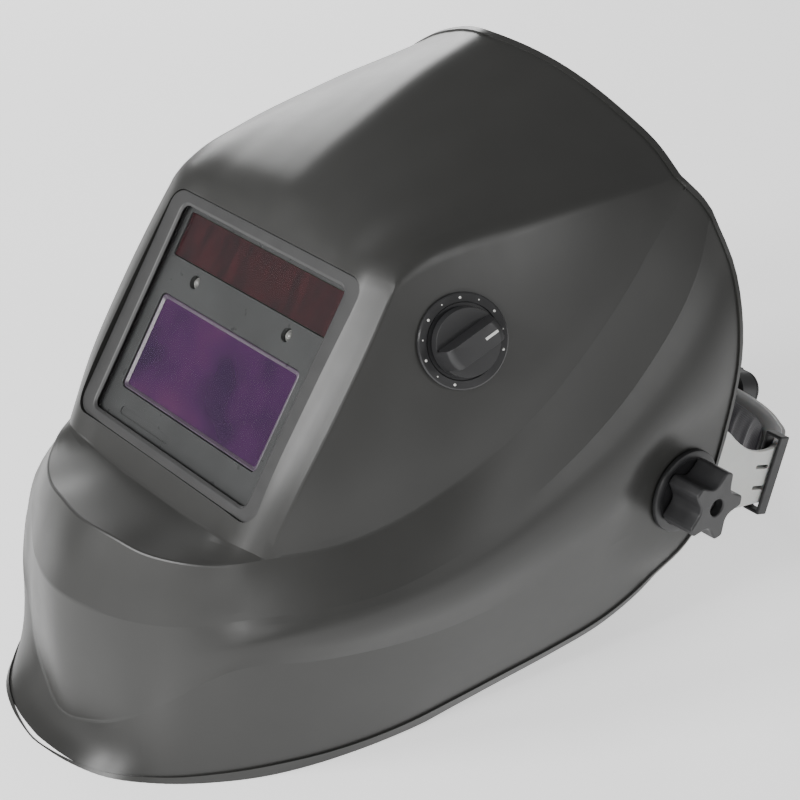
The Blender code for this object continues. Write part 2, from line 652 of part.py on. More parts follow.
def make_pivots():
    for side, turn in SIDES:
        there = dict(parent=HEADGEAR, turn=turn)
        bolt = [
            (0, STAR_END - 4), (3.0, STAR_END - 4), (3.0, FLANGE_OUT), (3.9, FLANGE_OUT), (3.9, 91.2),
            (7.0, 91.2), (7.0, 89.3), (0, 89.3)]
        turned(f"pivot_bolt_{side}", bolt, finish=STEEL, **there)
        slider = box_mesh("slider", *span((-8, -8, 91.5), (8, 8, PLATE_IN - GAP)))
        slider = place(add(f"pivot_slider_{side}", slider, BLACK_PLASTIC), HEADGEAR, turn=turn)
        cut(slider, round_cutter(f"slider_bore_{side}", 4.2, 80, 105, **there))
        washer(f"friction_washer_{side}", 15, 4.2, PLATE_OUT + GAP, 101.3, DARK_RUBBER, **there)
        washer(f"pivot_spacer_{side}", 10, 4.2, 104.8, 111.3, BLACK_PLASTIC, **there)
        washer(f"knob_flange_{side}", 17.5, 4.2, FLANGE_IN, FLANGE_OUT, BLACK_PLASTIC, **there, steps=32)
        outline = star_outline(5, STAR_TIP, STAR_VALLEY, STAR_TURN if side == "left" else 180 - STAR_TURN)
        knob = prism(
            f"star_knob_{side}", outline, FLANGE_OUT + GAP, STAR_END, BLACK_PLASTIC, HEADGEAR, turn=turn)
        rounded(knob, 0.8)
        cut(knob, round_cutter(f"knob_bore_{side}", 3.5, 110, 150, **there))
        make_bracket(side, turn)
    outline = [(16 * math.cos(math.radians(a)), 16 * math.sin(math.radians(a))) for a in range(20, 341, 16)]
    outline += [(30, -4), (30, 4)]
    lever = prism("tilt_adjuster", outline, 101.8, 104.4, BLACK_PLASTIC, HEADGEAR, turn=(0, -90, 0))
    cut(lever, round_cutter("tilt_bore", 4.2, 95, 110, HEADGEAR, turn=(0, -90, 0)))


def make_bracket(side, turn):
    """A channel that stands off the headband and holds the pivot's slider in a slot."""
    outline = [
        (-24, PLATE_OUT), (-24, 86.6), (-20, 86.6), (-20, PLATE_IN), (30, PLATE_IN), (30, 87.4), (34, 87.4),
        (34, PLATE_OUT)]
    bracket = add(f"side_bracket_{side}", prism_mesh("bracket", outline, -12, 12), BLACK_PLASTIC)
    flip = 1 if side == "left" else -1
    for v in bracket.data.vertices:
        y, outward, up = v.co
        v.co = (-flip * up, y, outward)
    if flip > 0:
        bracket.data.flip_normals()
    place(bracket, HEADGEAR, turn=turn)
    reach = SLOT_TRAVEL + 4.4
    slot = box_cutter(f"reach_slot_{side}", (-4.4, -reach, 90), (4.4, reach, 110), HEADGEAR)
    slot.rotation_euler = [math.radians(a) for a in turn]
    cut(bracket, slot)


# ---------------------------------------------------------------- headgear


def edges(stations):
    """Low and high edge lines from (x, y, lowest z, highest z)."""
    return [(x, y, low) for x, y, low, high in stations], [(x, y, high) for x, y, low, high in stations]


HEADBAND_STATIONS = [
    (0, -86.3, 5, 37), (28, -83.3, 4.5, 36), (54, -71.3, 2, 33), (72, -50.3, -4, 27),
    (81.5, -26.3, -11, 21), (85.2, -6.3, -19, 18), (BAND_HALF_WIDTH, 12.2, -21, 15),
    (BAND_HALF_WIDTH, 40.2, -23, 14), (BAND_HALF_WIDTH, 56.2, -24.5, 12.5),
    (BAND_HALF_WIDTH, 67.2, -25.5, 6.6), (BAND_HALF_WIDTH, 79.2, -25, 2.4),
    (BAND_HALF_WIDTH, 90.2, -23.5, 2.4), (BAND_HALF_WIDTH, 99.7, -22.5, 5.6)]
SWEATBAND_STATIONS = [
    (0, -80.8, 2, 39), (26, -78.1, 2, 38), (50, -66.8, 0, 35), (66, -47.8, -5, 29), (74, -28.3, -9, 23)]
REAR_BAND_STATIONS = [
    (83.2, 73.2, -19, -3), (83.2, 88.2, -21, -1.5), (82.8, 101.2, -22, 5), (79.8, 108, -22.5, 7.5),
    (70, 115.7, -23, 9), (56, 124.7, -23, 9.5), (38, 131.7, -23, 9.5), (0, 135.2, -23, 9.5)]
REAR_PAD_STATIONS = [
    (67, 110.2, -21, 5), (53.6, 120.4, -21.5, 5), (36.6, 127, -21.5, 5), (0, 130.6, -21.5, 5)]


def make_headgear():
    strip("headband", *edges(HEADBAND_STATIONS), 24, 2.0, BAND_GREY, HEADGEAR)
    strip("sweatband", *edges(SWEATBAND_STATIONS), 12, 7.0, FOAM, HEADGEAR)
    make_crown_straps()


def make_crown_straps():
    """Two straps that overlap over the head and are joined by a peg."""
    for side, sign, drop in (("left", 1, 0.0), ("right", -1, 2.2)):
        route = [
            (83.8, -6), (83.8, 18), (82, 42), (72, 68), (49, 88 - drop), (20, 97.5 - drop),
            (0, 99 - drop), (-20, 97.5 - drop), (-38, 92.5 - drop)]
        low = [(sign * x, 10, z) for x, z in route]
        high = [(sign * x, 28, z) for x, z in route]
        strap = strip(f"crown_strap_{side}", low, high, 24, 1.6, BAND_GREY, HEADGEAR, mirror=False)
        for k, across in enumerate((-14, 0, 14)):
            cut(strap, round_cutter(
                f"crown_hole_{side}_{k}", 2.4, 80, 110, HEADGEAR, at=(across, 18, 0), steps=12))
    peg = [(0, 102.8), (5.0, 102.8), (5.5, 100.2), (2.1, 100.2), (2.1, 94.0), (0, 94.0)]
    turned("crown_peg", peg, BLACK_PLASTIC, HEADGEAR, at=(0, 18, 0), steps=16)


# ---------------------------------------------------------------- rear adjuster


def make_rear():
    strip("rear_band", *edges(REAR_BAND_STATIONS[::-1]), 22, 2.0, BAND_GREY, HEADGEAR)
    strip("rear_pad", *edges(REAR_PAD_STATIONS[::-1]), 12, 6.0, FOAM, HEADGEAR)
    for side, sign in (("left", 1), ("right", -1)):
        low, high = sorted((sign * 80.2, sign * 89.0))
        keeper = block(f"strap_keeper_{side}", (low, 94, -28), (high, 100.2, 9), BLACK_PLASTIC, HEADGEAR, 0.6)
        low, high = sorted((sign * 81.6, sign * 87.4))
        cut(keeper, box_cutter(f"keeper_slot_{side}", (low, 90, -26.4), (high, 106, 7.4), HEADGEAR))
    make_ratchet()


def rear_turn(ob):
    """From a drawing in XY with Z as depth to one that faces the back of the head."""
    ob.rotation_euler = (-math.pi / 2, 0, 0)
    return ob


def make_ratchet():
    z, back = RATCHET_MIDDLE, RATCHET_FACE
    case = rounded_rectangle(2 * RATCHET_HALF, 37, 9, (0, -z), 3)
    housing = rear_turn(prism("ratchet_housing", case, back, back + 10.4, BLACK_PLASTIC, HEADGEAR))
    pocket = RATCHET_HALF - 2.4
    low, high = (-pocket, back + 1.6, z - 14.8), (pocket, back + 15, z + 14.8)
    cut(housing, box_cutter("ratchet_pocket", low, high, HEADGEAR))
    cover = rear_turn(prism("ratchet_cover", case, back + 10.7, back + 12.5, BLACK_PLASTIC, HEADGEAR))
    cut(cover, round_cutter("cover_bore", 5.3, back, back + 20, HEADGEAR, at=(0, 0, z), turn=(-90, 0, 0)))
    make_pinion(z, back)
    make_racks(z, back)
    low, grip_low, high = back + 12.8, back + 14.4, back + 26
    grip = [
        (0, high), (17.5, high), (19.5, high - 1.5), (19.5, grip_low), (18, low), (5.3, low),
        (5.3, low + 8), (0, low + 8)]
    there = dict(at=(0, 0, z), turn=(-90, 0, 0), steps=32)
    knob = turned("ratchet_knob", grip, BLACK_PLASTIC, HEADGEAR, **there)
    for k in range(8):
        a = math.radians(45 * k + 22.5)
        there = dict(at=(23.0 * math.cos(a), 0, z + 23.0 * math.sin(a)), turn=(-90, 0, 0), steps=12)
        cut(knob, round_cutter(f"grip_hollow_{k}", 6, back, back + 40, HEADGEAR, **there))


def make_pinion(z, back):
    outline = []
    step = 360 / PINION_TEETH
    for k in range(PINION_TEETH):
        for turn, radius in ((-9, 5.6), (-4.5, 9.4), (4.5, 9.4), (9, 5.6)):
            a = math.radians(step * k + 90 + turn)
            outline.append((radius * math.cos(a), -z + radius * math.sin(a)))
    gear = rear_turn(prism("ratchet_pinion", outline, back + 2.2, back + 10, BLACK_PLASTIC, HEADGEAR))
    shaft = round_cutter(
        "pinion_shaft", 5.0, back + 6, back + 20.4, HEADGEAR, at=(0, 0, z), turn=(-90, 0, 0), steps=16)
    mod = gear.modifiers.new("shaft", "BOOLEAN")
    mod.operation = "UNION"
    mod.object = shaft
    shaft.hide_render = True
    shaft.display_type = "WIRE"


def make_racks(z, back):
    """Toothed ends of the two rear straps, above and below the pinion."""
    pitch = 2 * math.pi * PINION_RADIUS / PINION_TEETH
    for side, sign in (("left", 1), ("right", -1)):
        outline = [(RACK_LENGTH - 8, 14.2), (-8, 14.2), (-8, 10.4)]
        for k in range(-1, 4):
            middle = (k + 0.5) * pitch
            outline += [(middle - 1.1, 10.4), (middle - 0.6, 6.6), (middle + 0.6, 6.6), (middle + 1.1, 10.4)]
        outline.append((RACK_LENGTH - 8, 10.4))
        turned_outline = [(sign * x, -z - sign * y) for x, y in outline]
        rear_turn(prism(f"rack_{side}", turned_outline, back + 2.6, back + 9.6, BAND_GREY, HEADGEAR))


# ---------------------------------------------------------------- build

make_shell()
make_window()
make_holder()
make_latch()
make_cartridge()
make_shade_control()
make_cable()
make_pivots()
make_headgear()
make_rear()
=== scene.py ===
"""Looks of the auto-darkening welding helmet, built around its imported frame.

Lengths are in millimetres in four frames, as in the part: the window's, the filter's just in front of
it, the headgear's and the shade control's. +X is the wearer's left, the window faces -Y and +Z is up.
"""

import math

import bmesh
import bpy
from mathutils import Matrix, Vector, kdtree
from mathutils.geometry import interpolate_bezier


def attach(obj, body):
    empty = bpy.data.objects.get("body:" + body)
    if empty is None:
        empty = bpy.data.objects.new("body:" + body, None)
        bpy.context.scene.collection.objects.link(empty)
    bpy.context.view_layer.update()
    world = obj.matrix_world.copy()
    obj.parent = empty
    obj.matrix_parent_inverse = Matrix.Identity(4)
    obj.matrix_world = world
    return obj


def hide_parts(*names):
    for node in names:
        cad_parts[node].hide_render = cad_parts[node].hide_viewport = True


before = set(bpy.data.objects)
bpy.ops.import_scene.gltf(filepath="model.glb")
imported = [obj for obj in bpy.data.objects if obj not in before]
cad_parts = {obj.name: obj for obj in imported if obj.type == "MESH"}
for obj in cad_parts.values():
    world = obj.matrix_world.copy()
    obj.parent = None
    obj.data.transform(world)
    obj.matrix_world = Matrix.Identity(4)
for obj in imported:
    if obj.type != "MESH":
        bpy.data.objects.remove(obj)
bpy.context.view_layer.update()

MM = 0.001
GAP = 0.3

# The part's driving sizes
WINDOW_HEIGHT = 138.6
WINDOW_TO_MIDDLE = 105.9
PANEL_TILT = 33.1
WALL = 2.4
LENS_SIZE = (110.0, 90.0)
FILTER_SHIFT = 3.5
OPENING = (103.0, 88.0)
BEZEL = (120.0, 97.5)
CARTRIDGE_VIEW = (90.0, 40.6)
VIEW_MIDDLE = -11.5
SOLAR_SIZE = (98.0, 18.0)
SOLAR_MIDDLE = 33.2
SENSOR_PLACE = (30.0, 18.3)
PIVOT = (0.0, 142.2, -63.1)
HEADGEAR_LEAN = 18.0
BAND_HALF_WIDTH = 86.0
PIVOT_SEAT = 114.2
SEAT_FLAT, SEAT_BLEND = 21.0, 42.0
FLANGE_IN, FLANGE_OUT = 114.8, 116.7
STAR_END = 132.6
STAR_TIP, STAR_VALLEY = 14.8, 9.3
STAR_TURN = 99.5
RATCHET_MIDDLE = -3.5
RATCHET_FACE = 136.8
RATCHET_HALF = 33.0
HOLLOWS, HOLLOWS_OUT = 8, 23.0  # round the ratchet knob, and how far out they are
SHADE_PLACE = (83.0, 52.1, 18.9)
SHADE_NORMAL = (0.905, -0.277, 0.324)
SHADE_TURN = 25.0
SHADE_MARKS, SHADE_SWEEP, MARKS_RADIUS = 11, 270.0, 15.9
SIDES = (("left", 1, (0, 90, 0)), ("right", -1, (0, -90, 0)))  # and the turn that points Z outwards

# The finer shell
ACROSS, DEEP, UP = 30, 44, 30  # cells over half the panel, back to the rim, and up the panel
LIP_CELLS, BAND_CELLS, CHIN_CELLS, FLARE_CELLS = 5, 7, 14, 7  # down each of the lower patches
BEAD_WIDTH, BEAD_HEIGHT = 2.6, 0.8
MERGE = 0.00003  # metres between points that are one
CREASE_RADIUS = 0.7
CREASE_ROOM = 2.4  # faces beside a fillet are at least this many radii high
FILLET_ABOVE = 16  # degrees of fold that get a fillet
FOLD_ABOVE = 2  # and that are a fold at all
FOLD_SLACK = 1.0  # how far an edge may be from its fold, past the wall's thickness
FOLD_ALONG = 0.85  # cosine of the most that it may turn from the fold's run
SHARP_ABOVE = 60  # degrees that stay sharp away from the folds
CHEEK_CORNER = 7.0  # reach of the corner where the lip's cells are narrow
SOFT_REACH = 5.0  # how far the softened ridges spread
CREST_REACH = 9.0  # and how far their corner does along the sharp folds
SIDE_SHARE = 0.7  # how strongly the side is evened out
SOFT_STEP = 0.6  # share of the way to its neighbours that a point moves at most in one pass
SOFT_PASSES = 4

# The studio, in metres and watts but for the camera, whose place is in millimetres from the window
FLOOR_HALF = 6.0
WORLD_STRENGTH = 0.36
LAMP_TARGET = (0, 0, 0.12)
LAMPS = (
    ("key", (-1.6, 0.9, 0.55), 0.6, 8),
    ("brow", (-1.8, 0.35, 0.9), 0.5, 6),
    ("front", (0.12, -1.75, 0.98), 0.5, 22),
    ("front_left", (-0.6, -1.6, 1.1), 0.5, 20),
    ("edge", (1.05, -1.55, 0.9), 0.12, 2.5),
    ("side", (1.8, 0.4, 0.85), 0.35, 5.5),
)
CAMERA_LENS = 85.5
CAMERA_PLACE = (541.1, -354.3, 322.9)
CAMERA_TURN = (61.8, 0, 50.5)


# ---------------- frames


def world_point(x, y, z):
    """A point measured from the middle of the window, level with the bench."""
    return Vector((x, y - WINDOW_TO_MIDDLE, z + WINDOW_HEIGHT)) * MM


def frame_at(place, turn):
    return Matrix.Translation(place) @ turn.to_4x4()


WINDOW = frame_at(world_point(0, 0, 0), Matrix.Rotation(math.radians(90 - PANEL_TILT), 3, "X"))
FILTER = WINDOW @ Matrix.Translation((0, 0, FILTER_SHIFT * MM))
HEADGEAR = frame_at(world_point(*PIVOT), Matrix.Rotation(-math.radians(HEADGEAR_LEAN), 3, "X"))
SHADE = frame_at(world_point(*SHADE_PLACE), Vector(SHADE_NORMAL).to_track_quat("Z", "Y").to_matrix())
LEVEL = Matrix.Identity(4)


def turned_frame(parent, at=(0, 0, 0), turn=(0, 0, 0)):
    """A frame moved by at, in millimetres, and turned by X, Y and Z angles in degrees."""
    spin = Matrix.Identity(4)
    for angle, axis in zip(turn, "XYZ"):
        spin = Matrix.Rotation(math.radians(angle), 4, axis) @ spin
    return parent @ Matrix.Translation(Vector(at) * MM) @ spin


# ---------------- materials


class Finish:
    """A Principled material and short ways to wire detail into it."""

    def __init__(self, name, colour, roughness, **sockets):
        self.material = bpy.data.materials.new(name)
        self.material.use_nodes = True
        self.tree = self.material.node_tree
        self.shader = self.tree.nodes["Principled BSDF"]
        self.set("Base Color", (*colour, 1.0))
        self.set("Roughness", roughness)
        for socket, value in sockets.items():
            self.set(socket.replace("_", " "), value)
        self.place = self.node("ShaderNodeTexCoord").outputs["Object"]

    def set(self, socket, value):
        self.shader.inputs[socket].default_value = value

    def node(self, kind, **values):
        made = self.tree.nodes.new(kind)
        for name, value in values.items():
            setattr(made, name, value)
        return made

    def link(self, source, target):
        self.tree.links.new(source, target)

    def noise(self, size, detail=3.0, stretch=(1, 1, 1)):
        """Noise whose blobs are about size millimetres across."""
        mapping = self.node("ShaderNodeMapping")
        mapping.inputs["Scale"].default_value = stretch
        self.link(self.place, mapping.inputs["Vector"])
        made = self.node("ShaderNodeTexNoise")
        made.inputs["Scale"].default_value = 1 / (size * MM)
        made.inputs["Detail"].default_value = detail
        self.link(mapping.outputs["Vector"], made.inputs["Vector"])
        return made.outputs["Fac"]

    def ramp(self, source, *stops):
        """Colours or greys at places along a ramp."""
        made = self.node("ShaderNodeValToRGB")
        ends = made.color_ramp.elements
        while len(ends) < len(stops):
            ends.new(0.5)
        for end, (at, colour) in zip(ends, stops):
            end.position = at
            end.color = (*colour, 1.0) if isinstance(colour, tuple) else (colour, colour, colour, 1.0)
        self.link(source, made.inputs["Fac"])
        return made.outputs["Color"]

    def paint(self, source):
        self.link(source, self.shader.inputs["Base Color"])

    def gloss(self, source, low, high):
        """Roughness from low to high as source goes from 0.3 to 0.7."""
        made = self.node("ShaderNodeMapRange")
        for socket, value in zip(("From Min", "From Max", "To Min", "To Max"), (0.3, 0.7, low, high)):
            made.inputs[socket].default_value = value
        self.link(source, made.inputs["Value"])
        self.link(made.outputs["Result"], self.shader.inputs["Roughness"])

    def bump(self, source, depth, strength=0.5):
        """Relief of depth millimetres."""
        made = self.node("ShaderNodeBump")
        made.inputs["Strength"].default_value = strength
        made.inputs["Distance"].default_value = depth * MM
        self.link(source, made.inputs["Height"])
        self.link(made.outputs["Normal"], self.shader.inputs["Normal"])

    def repeat(self, axis, pitch):
        """A sawtooth from 0 to 1 along an axis, each pitch millimetres."""
        parts = self.node("ShaderNodeSeparateXYZ")
        self.link(self.place, parts.inputs["Vector"])
        scaled = self.node("ShaderNodeMath", operation="DIVIDE")
        scaled.inputs[1].default_value = pitch * MM
        self.link(parts.outputs[axis], scaled.inputs[0])
        saw = self.node("ShaderNodeMath", operation="FRACT")
        self.link(scaled.outputs["Value"], saw.inputs[0])
        return saw.outputs["Value"]


def moulded(name, colour, roughness, grain=0.5, depth=0.02, spread=0.12, wear=0.1, **sockets):
    """Moulded plastic: a fine grain, faint blotches of colour and uneven gloss."""
    made = Finish(name, colour, roughness, **sockets)
    blotch = made.noise(28, 4)
    dark = tuple(c * (1 - spread) for c in colour)
    light = tuple(c * (1 + spread) for c in colour)
    made.paint(made.ramp(blotch, (0.35, dark), (0.65, light)))
    made.gloss(made.noise(6, 5), roughness * (1 - wear), roughness * (1 + wear))
    made.bump(made.noise(grain, 2), depth)
    return made.material


def shell_finish():
    """The shell's dark grey, evenly glossy."""
    return moulded(
        "shell_plastic", (0.025, 0.025, 0.0235), 0.38, grain=0.45, depth=0.015, spread=0.05, wear=0.03)


def cloth():
    """Knitted cover over foam."""
    made = Finish("foam_cloth", (0.030, 0.028, 0.034), 0.9, Sheen_Weight=0.35, Sheen_Roughness=0.5)
    made.paint(made.ramp(made.noise(7, 3), (0.3, (0.024, 0.022, 0.028)), (0.7, (0.040, 0.037, 0.045))))
    rows = made.repeat("Z", 0.9)
    loops = made.repeat("X", 0.9)
    weave = made.node("ShaderNodeMath", operation="MULTIPLY")
    made.link(made.ramp(rows, (0.0, 0.0), (0.5, 1.0), (1.0, 0.0)), weave.inputs[0])
    made.link(made.ramp(loops, (0.0, 0.2), (0.5, 1.0), (1.0, 0.2)), weave.inputs[1])
    made.bump(weave.outputs["Value"], 0.25, 0.6)
    return made.material


def shutter_glass():
    """The filter: deep violet, with a faint cloudiness."""
    made = Finish("shutter_glass", (0.080, 0.028, 0.090), 0.12, Coat_Weight=0.6, Coat_Roughness=0.05)
    cloud = made.noise(30, 2)
    tones = (0.3, (0.026, 0.006, 0.042)), (0.5, (0.052, 0.010, 0.066)), (0.72, (0.078, 0.016, 0.076))
    made.paint(made.ramp(cloud, *tones))
    return made.material


def solar_finish():
    """Dark red-brown cells with fine upright lines."""
    made = Finish("solar_cells", (0.035, 0.012, 0.013), 0.22, Coat_Weight=0.5, Coat_Roughness=0.08)
    lines = made.ramp(made.repeat("X", 1.6), (0.0, 0.0), (0.12, 1.0), (0.88, 1.0), (1.0, 0.0))
    grain = made.noise(9, 4, (2, 1, 0.25))
    tone = made.ramp(grain, (0.3, (0.014, 0.005, 0.007)), (0.7, (0.046, 0.008, 0.011)))
    mix = made.node("ShaderNodeMix", data_type="RGBA", blend_type="MULTIPLY")
    mix.inputs["Factor"].default_value = 0.5
    made.link(tone, mix.inputs["A"])
    made.link(lines, mix.inputs["B"])
    made.paint(mix.outputs["Result"])
    return made.material


def clear_finish(name, alpha):
    """Clear polycarbonate: mostly see-through, with its gloss."""
    made = Finish(name, (0.03, 0.03, 0.03), 0.04, Alpha=alpha, IOR=1.45)
    made.gloss(made.noise(12, 4), 0.03, 0.07)
    return made.material


def brushed():
    made = Finish("turned_steel", (0.46, 0.46, 0.47), 0.32, Metallic=1.0)
    made.gloss(made.noise(3, 4, (1, 1, 8)), 0.26, 0.4)
    made.bump(made.noise(0.6, 3, (1, 1, 6)), 0.01)
    return made.material


def strap_finish(name, colour):
    """Flexible strap plastic with a soft sheen."""
    made = Finish(name, colour, 0.42, Subsurface_Weight=0.08, Subsurface_Scale=0.002)
    low = tuple(c * 0.93 for c in colour)
    made.paint(made.ramp(made.noise(14, 4), (0.35, low), (0.65, colour)))
    made.gloss(made.noise(5, 4), 0.36, 0.5)
    made.bump(made.noise(0.5, 2), 0.02, 0.4)
    return made.material


SHELL = shell_finish()
TRIM = moulded("bezel_plastic", (0.034, 0.034, 0.034), 0.42, grain=0.4, depth=0.012, spread=0.05)
BLACK = moulded("black_plastic", (0.014, 0.014, 0.015), 0.42, grain=0.35, depth=0.02)
KNOB = moulded("knob_plastic", (0.020, 0.020, 0.021), 0.42, grain=0.35, depth=0.02)
CASE = moulded("case_plastic", (0.060, 0.062, 0.062), 0.30, grain=0.3, depth=0.01)
RUBBER = moulded("rubber", (0.018, 0.018, 0.019), 0.75, grain=0.8, depth=0.04)
STRAP = strap_finish("strap_plastic", (0.60, 0.61, 0.59))
STRAP_INNER = strap_finish("inner_strap_plastic", (0.36, 0.36, 0.36))
CLOTH = cloth()
SHUTTER = shutter_glass()
# The filter's frame ring is real, but its tone is lighter than the glass all round. That lightness is a
# painted highlight standing in for the bright reflected line along its edge.
SHUTTER_EDGE_PAINTED_HIGHLIGHT = moulded("shutter_edge_painted_highlight", (0.085, 0.060, 0.092), 0.30, grain=0.3, depth=0.01)
SOLAR = solar_finish()
CLEAR = clear_finish("clear_polycarbonate", 0.08)
CLEAR_INNER = clear_finish("inner_polycarbonate", 0.2)
SENSOR = moulded("sensor_window", (0.22, 0.22, 0.21), 0.15, grain=0.3, depth=0.002)
BOARD = moulded("circuit_board", (0.02, 0.12, 0.05), 0.45, grain=1.2, depth=0.05)
STEEL = brushed()
PRINT = moulded("white_print", (0.62, 0.62, 0.60), 0.5, grain=0.3, depth=0.005)
DIAL = moulded("dial_plastic", (0.022, 0.022, 0.023), 0.24, grain=0.3, depth=0.01)
RED = moulded("button_red", (0.20, 0.012, 0.012), 0.35, grain=0.3, depth=0.01)
FLOOR = moulded(
    "pale_floor", (0.93, 0.93, 0.93), 0.8, grain=3, depth=0.02, spread=0.005,
    Emission_Color=(1, 1, 1, 1), Emission_Strength=0.8)


# ---------------- mesh helpers


def smooth_shaded(mesh, sharp_above=35):
    mesh.shade_smooth()
    mesh.set_sharp_from_angle(angle=math.radians(sharp_above))


def add(name, mesh, finish, matrix=LEVEL, sharp_above=35):
    smooth_shaded(mesh, sharp_above)
    mesh.materials.append(finish)
    ob = bpy.data.objects.new(name, mesh)
    bpy.context.scene.collection.objects.link(ob)
    ob.matrix_world = matrix
    return ob


def mesh_of(bm, name):
    bmesh.ops.recalc_face_normals(bm, faces=bm.faces)
    mesh = bpy.data.meshes.new(name)
    bm.to_mesh(mesh)
    bm.free()
    return mesh


def freeze(ob, sharp_above=35):
    """Applies the object's modifiers."""
    graph = bpy.context.evaluated_depsgraph_get()
    mesh = bpy.data.meshes.new_from_object(ob.evaluated_get(graph))
    ob.modifiers.clear()
    ob.data = mesh
    smooth_shaded(mesh, sharp_above)
    return ob


def rounded(ob, width, segments=3, angle=32):
    mod = ob.modifiers.new("edges", "BEVEL")
    mod.width = width * MM
    mod.segments = segments
    mod.limit_method = "ANGLE"
    mod.angle_limit = math.radians(angle)
    mod.harden_normals = True
    return ob


def weighted(ob):
    mod = ob.modifiers.new("even_shading", "WEIGHTED_NORMAL")
    mod.keep_sharp = True
    return ob


def fits(ob, body, slot, *nodes):
    """The piece rides on a body and stands for these nodes, which are hidden. The slot is not used."""
    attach(ob, body)
    if nodes:
        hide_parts(*nodes)
    return ob


def cut(ob, cutters):
    """Cuts meshes given with their frames out of ob at once."""
    made = []
    for mesh, matrix in cutters:
        cutter = bpy.data.objects.new("cutter", mesh)
        bpy.context.scene.collection.objects.link(cutter)
        cutter.matrix_world = matrix
        mod = ob.modifiers.new("cut", "BOOLEAN")
        mod.object = cutter
        mod.solver = "EXACT"
        made.append(cutter)
    freeze(ob)
    for cutter in made:
        bpy.data.objects.remove(cutter)
    return ob


def box_mesh(low, high):
    bm = bmesh.new()
    bmesh.ops.create_cube(bm, size=1)
    size = [(b - a) * MM for a, b in zip(low, high)]
    middle = [(a + b) / 2 * MM for a, b in zip(low, high)]
    bmesh.ops.scale(bm, vec=size, verts=bm.verts)
    bmesh.ops.translate(bm, vec=middle, verts=bm.verts)
    return mesh_of(bm, "box")


def prism_mesh(outline, low, high):
    """An outline in the XY plane, extruded from low to high along Z."""
    bm = bmesh.new()
    base = bm.faces.new([bm.verts.new(Vector((x, y, low)) * MM) for x, y in outline])
    made = bmesh.ops.extrude_face_region(bm, geom=[base])
    top = [v for v in made["geom"] if isinstance(v, bmesh.types.BMVert)]
    bmesh.ops.translate(bm, vec=(0, 0, (high - low) * MM), verts=top)
    return mesh_of(bm, "prism")


def turned_mesh(profile, steps=64):
    """A profile of (radius, height) points turned about Z. A closed ring unless it starts on the axis."""
    bm = bmesh.new()
    rows = []
    for r, h in profile:
        if r == 0:
            rows.append([bm.verts.new((0, 0, h * MM))] * steps)
        else:
            turns = [2 * math.pi * k / steps for k in range(steps)]
            rows.append([bm.verts.new(Vector((r * math.cos(a), r * math.sin(a), h)) * MM) for a in turns])
    pairs = list(zip(rows, rows[1:]))
    if profile[0][0] > 0:
        pairs.append((rows[-1], rows[0]))
    for upper, lower in pairs:
        for k in range(steps):
            n = (k + 1) % steps
            corners = []
            for v in (upper[k], lower[k], lower[n], upper[n]):
                if v not in corners:
                    corners.append(v)
            if len(corners) > 2:
                bm.faces.new(corners)
    return mesh_of(bm, "turned")


def disc_mesh(radius, low, high, steps=48):
    return turned_mesh([(0, high), (radius, high), (radius, low), (0, low)], steps)


def rounded_rectangle(width, height, radius, middle=(0, 0), arc=8):
    points = []
    for quarter, (sx, sy) in enumerate(((1, 1), (-1, 1), (-1, -1), (1, -1))):
        for step in range(arc + 1):
            a = math.radians(90 * (quarter + step / arc))
            points.append((
                middle[0] + sx * (width / 2 - radius) + radius * math.cos(a),
                middle[1] + sy * (height / 2 - radius) + radius * math.sin(a),
            ))
    return points


def ring_mesh(loops):
    """A closed ring lofted through outlines with equal numbers of points, each at its own height."""
    bm = bmesh.new()
    rows = [[bm.verts.new(Vector((x, y, h)) * MM) for x, y in outline] for outline, h in loops]
    count = len(rows[0])
    for a, b in zip(rows, rows[1:] + rows[:1]):
        for i in range(count):
            k = (i + 1) % count
            bm.faces.new((a[i], a[k], b[k], b[i]))
    return mesh_of(bm, "ring")


# ---------------- curves and patches


def smooth_line(points, steps=16):
    """Closely spaced points on a smooth curve through the given ones, square to the middle plane."""
    pts = [Vector(p) for p in points]
    before = pts[1] * Vector((-1, 1, 1)) if pts[0].x == 0 else 2 * pts[0] - pts[1]
    ring = [before, *pts, 2 * pts[-1] - pts[-2]]
    slopes = []
    for prior, here, following in zip(ring, ring[1:], ring[2:]):
        inward, outward = here - prior, following - here
        slope = inward.normalized() * outward.length + outward.normalized() * inward.length
        slopes.append(slope.normalized())
    line = [pts[0]]
    for i in range(len(pts) - 1):
        reach = (pts[i + 1] - pts[i]).length / 3
        line += interpolate_bezier(
            pts[i], pts[i] + slopes[i] * reach, pts[i + 1] - slopes[i + 1] * reach, pts[i + 1], steps)[1:]
    return line


def spaced(line, count, last=0.0):
    """count + 1 points along a line of points, evenly spaced but for a last cell of that length."""
    lengths = [0.0]
    for a, b in zip(line, line[1:]):
        lengths.append(lengths[-1] + (b - a).length)
    total = lengths[-1]
    even = count - 1 if last else count
    stops = [(total - last) * i / even for i in range(even + 1)]
    if last:
        stops.append(total)
    out, k = [], 0
    for want in stops:
        while k < len(line) - 2 and lengths[k + 1] < want:
            k += 1
        run = lengths[k + 1] - lengths[k]
        share = (want - lengths[k]) / run if run else 0.0
        out.append(line[k].lerp(line[k + 1], min(max(share, 0.0), 1.0)))
    return out


def curve_through(points, count, last=0.0):
    return spaced(smooth_line(points), count, last)


def curve_with_knot(points, knot, first, second, last=0.0):
    """As curve_through, with a sample on points[knot]: first cells before it and second after it."""
    steps = 16
    line = smooth_line(points, steps)
    at = knot * (steps - 1)
    return spaced(line[: at + 1], first) + spaced(line[at:], second, last)[1:]


